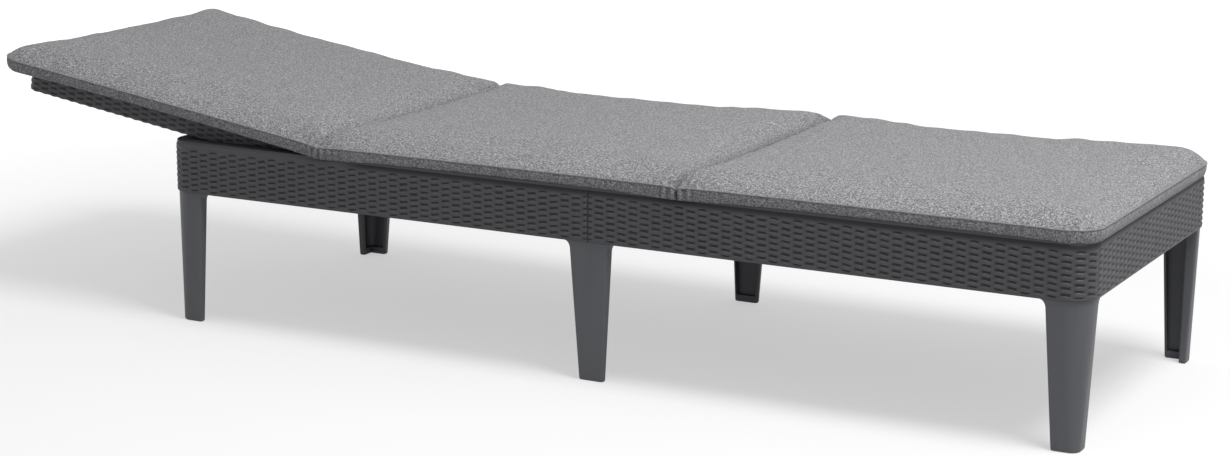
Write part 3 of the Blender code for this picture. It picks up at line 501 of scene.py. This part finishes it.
def path_round(start, end, half_width, radius, step):
    """Points and outward normals along a wall: near side, round end, far side, in plan.

    start is the open end and end the round one. The path has straight runs and quarter arcs,
    with points at an even pitch.
    """
    way = 1 if end > start else -1
    straight = abs(end - start) - radius
    quarter = math.pi / 2 * radius
    middle = 2 * (half_width - radius)
    total = 2 * straight + 2 * quarter + middle
    s = np.linspace(0, total, int(round(total / step)) + 1)
    edges = np.cumsum([straight, quarter, middle, quarter])
    x = np.empty_like(s)
    y = np.empty_like(s)
    nx = np.zeros_like(s)
    ny = np.zeros_like(s)
    run = s <= edges[0]
    x[run], y[run], ny[run] = start + way * s[run], -half_width, -1
    run = (s > edges[0]) & (s <= edges[1])
    a = (s[run] - edges[0]) / radius
    nx[run], ny[run] = way * np.sin(a), -np.cos(a)
    x[run] = end - way * radius + radius * nx[run]
    y[run] = -half_width + radius + radius * ny[run]
    run = (s > edges[1]) & (s <= edges[2])
    x[run], y[run], nx[run] = end, -half_width + radius + s[run] - edges[1], way
    run = (s > edges[2]) & (s <= edges[3])
    a = (s[run] - edges[2]) / radius
    nx[run], ny[run] = way * np.cos(a), np.sin(a)
    x[run] = end - way * radius + radius * nx[run]
    y[run] = half_width - radius + radius * ny[run]
    run = s > edges[3]
    x[run], y[run], ny[run] = end - way * radius - way * (s[run] - edges[3]), half_width, 1
    return s, np.stack([x, y], -1), np.stack([nx, ny], -1)


def woven_skin(name, path, low, high, weave_low, weave_high, depth, rounding, inward, wave=0.0):
    """A closed skin on a wall: woven relief outside, and a plain back just inside the wall.

    Each row of the section is carried along the path. A row's point is the path's point plus
    the normal times (relief - inward - the rim's arc), at the row's height plus the arc's rise
    and the strands' lean. wave scallops the bottom edge by that much at each stake. The relief
    attribute is the weave's height, which the material turns into painted shade in the gaps and
    a painted highlight on the crowns; the pad shadow attribute is 1 on the strip under the
    cushion's edge, which the material paints near black as the cushion's shadow.
    """
    s, plan, normal = path
    rows = skin_rows(low, high, weave_low, weave_high, rounding, inward)
    height, arc, into = (np.array(v)[:, None] for v in zip(*rows))
    along = s[None, :] + 0 * height
    up = height + 0 * along
    inside = smooth_step(weave_low - 0.0005, weave_low + 0.002, up) \
        * (1 - smooth_step(weave_high - 0.002, weave_high + 0.0005, up)) * (arc == 0)
    relief = strand_relief(along, up - low, np.round((up - low) / STRAND_PITCH)) / WEAVE_DEPTH
    shade = PLAIN_SHARE + (relief - PLAIN_SHARE) * inside
    out = SKIN_LIFT + shade * depth
    edge = smooth_step(0, 0.0018, s - s[0]) * smooth_step(0, 0.0018, s[-1] - s)
    out = out * (0.2 + 0.8 * edge[None, :])
    out = out * (0.45 + 0.55 * smooth_step(low, low + 0.0012, up))
    thin = 0.0002
    angle = arc * math.pi / 2
    on_rim = rounding * (1 - np.cos(angle)) + into
    lift = rounding * np.sin(angle) + strand_lean(along, up) * inside * (depth / WEAVE_DEPTH)
    skin = np.where(arc > 0, PLAIN_SHARE * depth * (1 - arc) + thin * arc, out)
    offset = skin * np.cos(angle) - on_rim
    z = up + lift + skin * np.sin(angle)
    bottom = 1 - smooth_step(low, low + 0.006, up)
    z = z - wave * bottom * (0.5 + 0.5 * np.cos(2 * math.pi * along / COLUMN_PITCH))
    keep = [i for i, row in enumerate(rows) if i == 0 or row[1] > 0 or row[0] >= high][::-1]
    back_offset = -SKIN_SUNK * np.cos(angle[keep]) - on_rim[keep] + 0 * along[keep]
    back_z = up[keep] + rounding * np.sin(angle[keep]) - SKIN_SUNK * np.sin(angle[keep])
    offset = np.concatenate([offset, back_offset])
    z = np.concatenate([z, back_z])
    points = np.empty((*offset.shape, 3))
    points[..., :2] = plan[None] + normal[None] * offset[..., None]
    points[..., 2] = z
    count, columns = offset.shape
    faces = [tuple(f) for f in grid_faces(count, columns, wrap_rows=True)]
    faces.append(tuple(range(0, count * columns, columns)))
    faces.append(tuple(range(columns - 1, count * columns, columns))[::-1])
    made = outward(mesh_object(name, points.reshape(-1, 3), faces))
    shade = np.concatenate([shade, np.full(back_z.shape, PLAIN_SHARE)])
    point_attribute(made, "relief", shade.ravel())
    # Painted shadow mask: 1 on the rim's strip under the cushion's edge, past the hinge, where the
    # cushion's shadow is painted.
    under = smooth_step(RIM_TOP - 0.0150, RIM_TOP - 0.0075, points[..., 2]) \
        * smooth_step(HINGE[0] + 0.02, HINGE[0] + 0.09, points[..., 0]) * (rounding > 0)
    point_attribute(made, "under_pad", under.ravel())
    made.data.set_sharp_from_angle(angle=math.radians(80))
    return made


def frame_skin(name, end, finish):
    """The woven wall and smooth rim of one half of the frame."""
    start = SEAM_X + end * SEAM_GROOVE
    path = path_round(start, SEAM_X + end * HALF_LENGTH, HALF_WIDTH, CORNER_RADIUS,
                      COLUMN_PITCH / COLUMN_STEPS)
    made = woven_skin(name, path, UNDERSIDE + EDGE_GAP, RIM_TOP - RIM_ROUNDING,
                      UNDERSIDE + PLAIN_BOTTOM, RIM_TOP - PLAIN_TOP, WEAVE_DEPTH, RIM_ROUNDING,
                      RIM_LIP)
    made.data.materials.append(finish)
    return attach(made, "frame")


def skirt_skin(finish):
    """The woven skirt of the backrest, made level about the hinge axis and then tilted."""
    path = path_round(-SKIRT_START, -PANEL_LENGTH, PANEL_HALF_WIDTH, PANEL_CORNER,
                      COLUMN_PITCH / COLUMN_STEPS)
    made = woven_skin("backrest_skirt", path, -PANEL_HALF_DEPTH + EDGE_GAP,
                      PANEL_HALF_DEPTH - EDGE_GAP, -PANEL_HALF_DEPTH + 0.0025,
                      PANEL_HALF_DEPTH - 0.0035, SKIRT_DEPTH, 0.0, 0.0,
                      wave=SKIRT_SCALLOP)
    tilt_with_backrest(made)
    made.data.materials.append(finish)
    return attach(made, "backrest")


def tilt_with_backrest(made):
    """Turns a mesh made level about the hinge axis to the backrest's rest pose."""
    made.data.transform(Matrix.Translation(HINGE) @ Matrix.Rotation(TILT, 4, "Y"))


# Cushion

def block_surface(xs, ys, zs):
    """Points and quads of the outer surface of a lattice block, from its three axes' values."""
    nx, ny, nz = len(xs), len(ys), len(zs)
    index = np.arange(nx * ny * nz).reshape(nx, ny, nz)
    sheets = [index[0], index[-1][::-1], index[:, 0][::-1], index[:, -1], index[:, :, 0],
              index[::-1, :, -1]]
    quads = []
    for sheet in sheets:
        quads.append(np.stack([sheet[:-1, :-1], sheet[:-1, 1:], sheet[1:, 1:], sheet[1:, :-1]],
                              -1).reshape(-1, 4))
    quads = np.concatenate(quads)
    used, compact = np.unique(quads, return_inverse=True)
    i, j, k = np.unravel_index(used, (nx, ny, nz))
    return np.stack([xs[i], ys[j], zs[k]], -1), compact.reshape(-1, 4)


def eased(low, high, low_end, high_end, step):
    """Values from low to high at an even step, closer together at the ends that ask for it."""
    near = np.array([0.0, 0.0012, 0.0030, 0.0055, 0.0085, 0.0115, 0.0150, 0.0185, 0.0220, 0.0260])
    start = low + near if low_end else np.array([low])
    stop = high - near[::-1] if high_end else np.array([high])
    count = int(math.ceil((stop[0] - start[-1]) / step))
    return np.concatenate([start, np.linspace(start[-1], stop[0], count + 1)[1:-1], stop])


def round_plan(x, y, low, high, half, radius_low, radius_high):
    """Carries a rectangle's rings over to rings with round corners.

    A point's ring is its distance from the edges. On the ring, the stretch round a corner is
    carried over to a quarter arc of the same centre; a radius of 0 keeps a corner square.
    """
    x, y = x.copy(), y.copy()
    for end, side, radius in ((high, 1, radius_high), (high, -1, radius_high),
                              (low, 1, radius_low), (low, -1, radius_low)):
        if radius <= 0:
            continue
        way = 1 if end == high else -1
        a = radius - way * (end - x)
        b = radius - (half - side * y)
        inside = (a > 0) & (b > 0)
        ring = np.maximum(a, b)
        safe = np.where(ring > 0, ring, 1)
        turn = np.where(a >= b, b / safe, 2 - a / safe) * math.pi / 4
        x = np.where(inside, end - way * radius + way * ring * np.cos(turn), x)
        y = np.where(inside, side * (half - radius + ring * np.sin(turn)), y)
    return x, y


def edge_distance(x, y, low, high, half, radius_low, radius_high):
    """Distance in from the outline of a rectangle whose corners are round where asked."""
    distance = np.minimum(np.minimum(x - low, high - x), half - np.abs(y))
    for way, end, radius in ((1, high, radius_high), (-1, low, radius_low)):
        if radius <= 0:
            continue
        a = radius - way * (end - x)
        b = radius - (half - np.abs(y))
        corner = (a > 0) & (b > 0)
        distance = np.where(corner, radius - np.hypot(a, b), distance)
    return distance


def roll(distance, reach):
    """A quarter of an ellipse: 0 at the edge, 1 at the reach and beyond."""
    return np.sqrt(np.clip(1 - (1 - np.clip(distance / reach, 0, 1)) ** 2, 0, 1))


def swell(distance, reach):
    """A rise that is steep but not upright at the edge, and level at the reach."""
    return 1 - (1 - np.clip(distance / reach, 0, 1)) ** 2.5


def pad_shape(low, high, fold_low, fold_high, seed):
    """A pad's points, quads, pins, seam and painted crease shade, level, with its base at z = 0.

    The side band leans out up to the seam. From the seam the top rises by 1 - (1 - d / roll) to
    the power 2.5 of the distance d to the outline. At a fold the top dips to the fold's height,
    by a quarter ellipse to the power 1.5. Gathers are the size of a sine of the distance to the
    fold, which fades by an exponential away from the fold and from the pad's sides. Half way
    between a pad's ends the sides pull in and the base hangs less, by a parabola.
    """
    xs = eased(low, high, True, True, PAD_STEP)
    ys = eased(-PAD_HALF_WIDTH, PAD_HALF_WIDTH, True, True, PAD_STEP)
    levels = np.array([0.0, 0.08, 0.22, 0.42, 0.62, 0.8, 0.93, 1.0])
    points, quads = block_surface(xs, ys, levels)
    level = points[:, 2]
    corner_low = 0.0 if fold_low else PAD_CORNER
    corner_high = 0.0 if fold_high else PAD_CORNER
    x, y = round_plan(points[:, 0], points[:, 1], low, high, PAD_HALF_WIDTH, corner_low,
                      corner_high)
    far = 1.0
    to_side = edge_distance(x, y, low - (far if fold_low else 0),
                            high + (far if fold_high else 0), PAD_HALF_WIDTH, corner_low,
                            corner_high)
    to_fold = np.full_like(x, far)
    if fold_low:
        to_fold = np.minimum(to_fold, x - low)
    if fold_high:
        to_fold = np.minimum(to_fold, high - x)
    middle = (low + high) / 2
    by_side = np.exp(-to_side / 0.055)
    near_fold = np.exp(-to_fold / 0.026)
    dip = FOLD_HEIGHT + 0.0070 * by_side
    crown = PAD_CROWN * (1 - (y / PAD_HALF_WIDTH) ** 2) \
        * (1 - ((x - middle) / (high - middle)) ** 2)
    body = PAD_THICKNESS + crown + 0.0011 * wobble(x * 16.0 + y * 9.0, seed + 7)
    full = dip + (body - dip) * roll(to_fold, FOLD_ROLL) ** 1.5
    ridge = np.abs(np.sin(math.pi * (to_fold + 0.0015 * wobble(y * 90.0, seed + 1)) / GATHER_PITCH))
    puff = ridge * np.exp(-to_fold / 0.034)
    edge = PAD_BAND * (0.90 + 0.10 * roll(to_fold, 0.03)) \
        + 0.0005 * wobble(x * 60.0, seed + 4) + 0.0052 * puff - 0.0040 * near_fold
    top = edge + (full - edge) * swell(to_side, PAD_ROLL)
    gather = 0.0016 * wobble(y * 150.0, seed) + 0.0070 * np.exp(-to_side / 0.028) * (ridge - 0.45)
    top = top + gather * near_fold * smooth_step(0.0, 0.006, to_fold) \
        * smooth_step(0.0, 0.008, to_side)
    on_top = level >= 0.999
    z = np.where(on_top, top, edge * level)
    # The band is tucked in at its base, leans out to the seam and is puckered by the folds.
    lean = PAD_SWELL * smooth_step(0.0, 1.0, level) + 0.0012 * np.sin(level * math.pi)
    tuck = 0.0016 * (1 - smooth_step(0.0, 0.16, level)) ** 2
    between = 1 - ((x - middle) / (high - middle)) ** 2
    outline = to_side < ON_OUTLINE
    z = z - (PAD_DROOP - PAD_DROOP_HELD * between) * (1 - level) * outline
    pucker = PAD_PUCKER * puff - 0.0034 * near_fold
    slack = 0.0009 * wobble(x * 48.0, seed + 3) + 0.0003 * wobble(x * 260.0, seed + 5)
    waist = PAD_WAIST * between
    move = lean - tuck + pucker + slack * (1.2 - level) - waist
    fade = np.clip(1 - to_side / 0.06, 0, 1)
    share = smooth_step(0.55, 0.97, np.abs(y) / PAD_HALF_WIDTH)
    side_move = np.where(outline, move, np.where(on_top, PAD_SWELL - waist, -waist) * fade)
    y = y + np.sign(y) * side_move * share
    for end, open_end, way in ((high, not fold_high, 1), (low, not fold_low, -1)):
        if open_end:
            reach = smooth_step(PAD_CORNER, 0.0, way * (end - x))
            end_move = np.where(outline, lean - tuck + slack, np.where(on_top, PAD_SWELL, 0) * fade)
            x = x + way * end_move * reach
    points = np.stack([x, y, z], -1)
    pinned = np.where(on_top, np.clip(1 - roll(to_side, 0.012) * roll(to_fold, 0.012), 0, 1), 1.0)
    ring = on_top & outline
    # Painted shade: 1 along a fold and in the valleys between the gathers beside it, where the
    # cloth's colour is darkened.
    crease = np.exp(-to_fold / 0.0050) * on_top
    painted_gather_shade = 1.5 * (1 - ridge) ** 2 * np.exp(-to_fold / 0.034) * np.exp(-to_side / 0.030)
    crease = np.maximum(crease, np.minimum(painted_gather_shade, 1.0))
    return points, quads, pinned, ring, crease


def piping(name, points, low, high, fold_low, fold_high, finish):
    """The welt along a pad's seam: a thin round cord through the seam's points.

    The points are put in order round the pad, starting and ending at the folds. A section is a
    circle across the line from each point to the next.
    """
    middle = (low + high) / 2
    turn = np.arctan2(points[:, 1], points[:, 0] - middle)
    if fold_low and fold_high:
        runs = [points[points[:, 1] < 0], points[points[:, 1] > 0]]
        runs = [run[np.argsort(run[:, 0])] for run in runs]
    elif fold_high:
        runs = [points[np.argsort(np.mod(turn, 2 * math.pi))]]
    else:
        runs = [points[np.argsort(turn)]]
    made = []
    for number, run in enumerate(runs):
        gaps = np.linalg.norm(np.diff(run, axis=0), axis=1)
        run = run[np.concatenate([[True], gaps > 1e-5])]
        length = np.concatenate([[0], np.cumsum(np.linalg.norm(np.diff(run, axis=0), axis=1))])
        count = int(length[-1] / PIPING_STEP)
        even = np.linspace(PIPING_END, length[-1] - PIPING_END, count)
        line = np.stack([np.interp(even, length, run[:, k]) for k in range(3)], -1)
        line[1:-1] = (line[:-2] + 2 * line[1:-1] + line[2:]) / 4
        ahead = np.gradient(line, axis=0)
        ahead /= np.linalg.norm(ahead, axis=1, keepdims=True)
        across = np.cross(ahead, (0, 0, 1.0))
        across /= np.linalg.norm(across, axis=1, keepdims=True)
        upward = np.cross(across, ahead)
        angle = np.linspace(0, 2 * math.pi, PIPING_SIDES + 1)[:-1]
        ring = across[:, None] * np.cos(angle)[None, :, None] \
            + upward[:, None] * np.sin(angle)[None, :, None]
        tube = line[:, None] + PIPING_RADIUS * ring + (0, 0, 0.0003)
        faces = [tuple(f) for f in grid_faces(count, PIPING_SIDES, wrap_columns=True)]
        faces.append(tuple(range(PIPING_SIDES))[::-1])
        faces.append(tuple(range((count - 1) * PIPING_SIDES, count * PIPING_SIDES)))
        cord = outward(mesh_object(f"{name}_{number + 1}", tube.reshape(-1, 3), faces))
        cord.data.materials.append(finish)
        made.append(cord)
    return made


def inflate(made, pinned, cap, pressure):
    """Cloth simulation of a filled pad: pressure from inside, cap on how far a point moves."""
    rest = np.empty(len(made.data.vertices) * 3, np.float32)
    made.data.vertices.foreach_get("co", rest)
    rest = rest.reshape(-1, 3)
    group = made.vertex_groups.new(name="pins")
    for weight in np.unique(np.round(pinned, 1)):
        chosen = np.nonzero(np.round(pinned, 1) == weight)[0].tolist()
        if weight > 0:
            group.add(chosen, float(weight), "REPLACE")
    cloth = made.modifiers.new("filling", "CLOTH")
    cloth.settings.vertex_group_mass = "pins"
    cloth.settings.use_pressure = True
    cloth.settings.uniform_pressure_force = pressure
    cloth.settings.effector_weights.gravity = 0
    cloth.settings.quality = 4
    cloth.settings.shrink_min = -0.007
    cloth.settings.tension_stiffness = 20
    cloth.settings.compression_stiffness = 20
    cloth.settings.bending_stiffness = 0.6
    cloth.collision_settings.use_collision = False
    cloth.point_cache.frame_start = 1
    cloth.point_cache.frame_end = CLOTH_STEPS
    scene = bpy.context.scene
    for step in range(1, CLOTH_STEPS + 1):
        scene.frame_set(step)
    shaped = made.evaluated_get(bpy.context.evaluated_depsgraph_get())
    now = np.empty(len(rest) * 3, np.float32)
    shaped.data.vertices.foreach_get("co", now)
    made.modifiers.remove(cloth)
    made.vertex_groups.remove(group)
    scene.frame_set(1)
    move = now.reshape(-1, 3) - rest
    length = np.linalg.norm(move, axis=1, keepdims=True)
    held = np.tanh(length / cap) * cap
    move = np.where(length > 1e-9, move / np.maximum(length, 1e-9) * held, 0)
    result = rest + move * (1 - pinned[:, None])
    made.data.vertices.foreach_set("co", result.astype(np.float32).ravel())
    made.data.update()


def pad(name, node, low, high, fold_low, fold_high, seed, cloth, cord):
    """One panel of the cushion, level with its base at z = 0: shaped, filled and subdivided."""
    points, quads, pinned, ring, crease = pad_shape(low, high, fold_low, fold_high, seed)
    made = outward(mesh_object(name, points, quads))
    inflate(made, pinned, CLOTH_CAP, CLOTH_PRESSURE)
    place_attribute(made, "cloth_place", points)
    # Stores the painted shade of the folds and gathers for the cloth's colour.
    point_attribute(made, "crease", crease)
    smooth = made.modifiers.new("finer cloth", "SUBSURF")
    smooth.levels = 1
    smooth.render_levels = 1
    made.data.materials.append(cloth)
    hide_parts(node)
    welts = piping(name + "_welt", points[ring], low, high, fold_low, fold_high, cord)
    return [made, *welts]


def settle(made, tilted):
    """Puts a level pad on the frame's rim, or on the tilted backrest."""
    if tilted:
        made.data.transform(Matrix.Translation((0, 0, RIM_TOP - HINGE[2] + PAD_LIFT)))
        tilt_with_backrest(made)
    else:
        made.data.transform(Matrix.Translation((0, 0, RIM_TOP + PAD_LIFT)))


def cushion(cloth, cord):
    """The back, seat and foot panels, bent with the backrest where they cross its hinge."""
    reach = PANEL_LENGTH + PAD_OVERHANG
    fold = SEAM_X + FOLD_PAST_SEAM
    tip = SEAM_X + HALF_LENGTH - PAD_FOOT_INSET
    back = pad("back_cushion", "cushion_back", -reach, 0.0, False, True, 11, cloth, cord)
    seat = pad("seat_cushion", "cushion_seat", HINGE[0], fold, True, True, 23, cloth, cord)
    foot = pad("foot_cushion", "cushion_foot", fold, tip, True, False, 37, cloth, cord)
    for made in back:
        settle(made, True)
    for made in seat + foot:
        settle(made, False)
    for made in back + seat:
        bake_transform(made)
    for made in foot:
        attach(made, "frame")


# Legs

def arc_points(centre, radius, start, end, steps):
    """Points on an arc in plan, angles in degrees."""
    angle = np.radians(np.linspace(start, end, steps))
    return np.stack([centre[0] + radius * np.cos(angle), centre[1] + radius * np.sin(angle)], -1)


def corner_leg_face(share, flare, shrink, proud):
    """Outline of a corner leg's outer faces, from its outer corner, 0 at the foot to 1 on top."""
    lean = LEG_LEAN_SOLE + (LEG_LEAN_TOP - LEG_LEAN_SOLE) * share
    inset = lean + shrink - proud
    width = 0.039 + 0.023 * share + lean + flare - shrink + proud
    depth = 0.033 + 0.013 * share + lean + flare - shrink + proud
    inner = lean + 0.011 + 0.007 * share - shrink
    edge = LEG_EDGE + proud
    radius = min(0.014 + (CORNER_RADIUS - 0.014) * share, depth - edge - inset - 0.0005)
    return np.concatenate([
        [(inner - 0.0022, depth)], arc_points((inset + edge, depth - edge), edge, 90, 180, 5),
        arc_points((inset + radius, inset + radius), radius, 180, 270, 15),
        arc_points((width - edge, inset + edge), edge, 270, 360, 5), [(width, inner - 0.0022)]])


def mid_leg_face(share, flare, shrink, proud):
    """Outline of a middle leg's outer faces, centred along the frame."""
    lean = LEG_LEAN_SOLE + (LEG_LEAN_TOP - LEG_LEAN_SOLE) * share
    inset = lean + shrink - proud
    half = (0.041 + 0.025 * share) / 2 + flare - shrink + proud
    inner = lean + 0.011 + 0.007 * share - shrink
    edge = MID_LEG_EDGE + proud
    return np.concatenate([
        [(-half, inner - 0.0035)], arc_points((-half + edge, inset + edge), edge, 180, 270, 6),
        arc_points((half - edge, inset + edge), edge, 270, 360, 6), [(half, inner - 0.0035)]])


def leg_shell(name, face, corner, ways, finish):
    """A smooth thin shell over the outer faces of a leg, from its sole to its flare.

    Each ring is the face's outline proud of the leg, and back again just inside it.
    """
    turns = np.linspace(0.3, math.pi / 2, 4)
    rise = [0.0005 + SOLE_ROUNDING * (1 - math.cos(a)) for a in turns]
    draw = [SOLE_ROUNDING * (1 - math.sin(a)) for a in turns]
    levels = [(h, 0.0, d) for h, d in zip(rise, draw)]
    levels += [(h, 0.0, 0.0) for h in np.linspace(0.006, LEG_TOP - LEG_FLARE - 0.002, 14)]
    levels += [(LEG_TOP - LEG_FLARE * (1 - math.sin(a)), LEG_FLARE_REACH * (1 - math.cos(a)), 0.0)
               for a in np.linspace(0, math.pi / 2, 10)]
    rings = []
    for height, flare, shrink in levels:
        share = height / LEG_TOP
        outer = face(share, flare, shrink, SHELL_PROUD)
        inner = face(share, flare, shrink, -SHELL_SUNK)[::-1]
        plan = np.concatenate([outer, inner])
        rings.append(np.column_stack([corner[0] + ways[0] * plan[:, 0],
                                      corner[1] + ways[1] * plan[:, 1],
                                      np.full(len(plan), height)]))
    count, columns = len(rings), len(rings[0])
    faces = [tuple(f) for f in grid_faces(count, columns, wrap_columns=True)]
    half = columns // 2
    for base in (0, (count - 1) * columns):
        faces += [(base + k, base + k + 1, base + columns - 2 - k, base + columns - 1 - k)
                  for k in range(half - 1)]
    made = outward(mesh_object(name, np.concatenate(rings), faces))
    made.data.set_sharp_from_angle(angle=math.radians(50))
    made.data.materials.append(finish)
    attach(made, "frame")


def leg_shells(finish):
    """Shells on the four corner legs and the two middle legs."""
    for row, end in (("head", -1), ("foot", 1)):
        for side_name, side in (("near", -1), ("far", 1)):
            corner = (SEAM_X + end * HALF_LENGTH, side * HALF_WIDTH)
            leg_shell(f"leg_shell_{row}_{side_name}", corner_leg_face, corner, (-end, -side), finish)
    for side_name, side in (("near", -1), ("far", 1)):
        leg_shell(f"leg_shell_mid_{side_name}", mid_leg_face, (SEAM_X, side * HALF_WIDTH),
                  (1, -side), finish)


# Stage

def area_light(name, place, target, size, power):
    """A soft square lamp at a place, aimed at a target."""
    lamp = bpy.data.lights.new(name, "AREA")
    lamp.shape = "SQUARE"
    lamp.size = size
    lamp.energy = power
    made = bpy.data.objects.new(name, lamp)
    bpy.context.scene.collection.objects.link(made)
    made.location = place
    made.rotation_euler = (Vector(target) - Vector(place)).to_track_quat("-Z", "Y").to_euler()


def studio_floor():
    """A pale floor that keeps the shadow and shows white where it is fully lit."""
    points = FLOOR_HALF * np.array([(-1, -1, 0), (1, -1, 0), (1, 1, 0), (-1, 1, 0)])
    made = mesh_object("studio_floor", points, np.array([[0, 1, 2, 3]]), smooth=False)
    floor = Finish("studio_floor", Roughness=0.9, Specular_IOR_Level=0.1)
    grain = floor.noise(floor.here(), 3.0)
    floor.wear(Base_Color=floor.mix(grain, (0.41, 0.41, 0.41), (0.43, 0.43, 0.43)))
    path = [floor.node("LightPath", None, None, ray) for ray in
            ("Is Camera Ray", "Is Glossy Ray", "Is Transmission Ray")]
    seen = path[0] + path[1] + path[2]
    away = floor.node("VectorMath", {"operation": "LENGTH"}, {0: floor.here()}, "Value")
    tint = floor.mix(floor.level(away, 1.1, 3.2), (0.52, 0.52, 0.52), (0.95, 0.95, 0.95))
    glow = floor.node("Emission", None, {"Color": tint, "Strength": seen})
    both = floor.node("AddShader", None, {0: Wire(floor, floor.shader.outputs[0]), 1: glow})
    out = floor.tree.nodes["Material Output"]
    floor.tree.links.new(both.socket, out.inputs["Surface"])
    made.data.materials.append(floor.material)


def studio_world():
    """Even white light from all round, and a pale grey backdrop that only the camera sees."""
    world = bpy.data.worlds.new("studio")
    bpy.context.scene.world = world
    world.use_nodes = True
    tree = world.node_tree
    light = tree.nodes["Background"]
    light.inputs["Color"].default_value = (1, 1, 1, 1)
    light.inputs["Strength"].default_value = 0.42
    backdrop = tree.nodes.new("ShaderNodeBackground")
    backdrop.inputs["Strength"].default_value = 1.0
    ray = tree.nodes.new("ShaderNodeLightPath")
    mix = tree.nodes.new("ShaderNodeMixShader")
    tree.links.new(ray.outputs["Is Camera Ray"], mix.inputs[0])
    tree.links.new(light.outputs[0], mix.inputs[1])
    tree.links.new(backdrop.outputs[0], mix.inputs[2])
    tree.links.new(mix.outputs[0], tree.nodes["World Output"].inputs[0])


def camera():
    """Three-quarter view from the near side of the foot end, a little above the cushion."""
    azimuth, elevation, lean = (math.radians(v) for v in CAMERA_ANGLES)
    back = Vector((math.sin(azimuth) * math.cos(elevation),
                   -math.cos(azimuth) * math.cos(elevation), math.sin(elevation)))
    right = (-back).cross(Vector((0, 0, 1))).normalized()
    up = back.cross(right)
    turned_right = math.cos(lean) * right + math.sin(lean) * up
    turned_up = -math.sin(lean) * right + math.cos(lean) * up
    data = bpy.data.cameras.new("camera")
    data.sensor_width = 36.0
    data.lens = CAMERA_LENS
    data.clip_end = 200.0
    made = bpy.data.objects.new("camera", data)
    bpy.context.scene.collection.objects.link(made)
    axes = Matrix((turned_right, turned_up, back)).transposed()
    made.matrix_world = Matrix.Translation(CAMERA_PLACE) @ axes.to_4x4()
    bpy.context.scene.camera = made


def studio():
    """Floor, world, lamps and the plain view transform."""
    studio_floor()
    studio_world()
    middle = (SEAM_X, 0, 0.3)
    area_light("key", KEY_PLACE, middle, KEY_SIZE, KEY_POWER)
    bpy.context.scene.view_settings.view_transform = "Standard"


# The lounger

def dress_nodes(finishes):
    """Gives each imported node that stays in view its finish."""
    for name, node in NODES.items():
        if "screw" in name:
            chosen = finishes["steel"]
        elif name.startswith("stop_buffer"):
            chosen = finishes["rubber"]
        elif name.startswith("leg_") or "pin" in name or name == "prop_bail":
            chosen = finishes["leg"]
        elif name.startswith("cushion"):
            chosen = finishes["cloth"]
        else:
            chosen = finishes["plain"]
        if not node.material_slots:
            node.data.materials.append(chosen)
        for place in node.material_slots:
            place.material = chosen


camera()
studio()
finishes = {"plain": plain_resin(), "woven": woven_resin(), "leg": leg_resin(),
            "steel": zinc_steel(), "rubber": black_rubber(), "cloth": melange_cloth(),
            "cord": piping_cloth()}
dress_nodes(finishes)
frame_skin("woven_wall_head", -1, finishes["woven"])
frame_skin("woven_wall_foot", 1, finishes["woven"])
skirt_skin(finishes["woven"])
cushion(finishes["cloth"], finishes["cord"])
leg_shells(finishes["leg"])
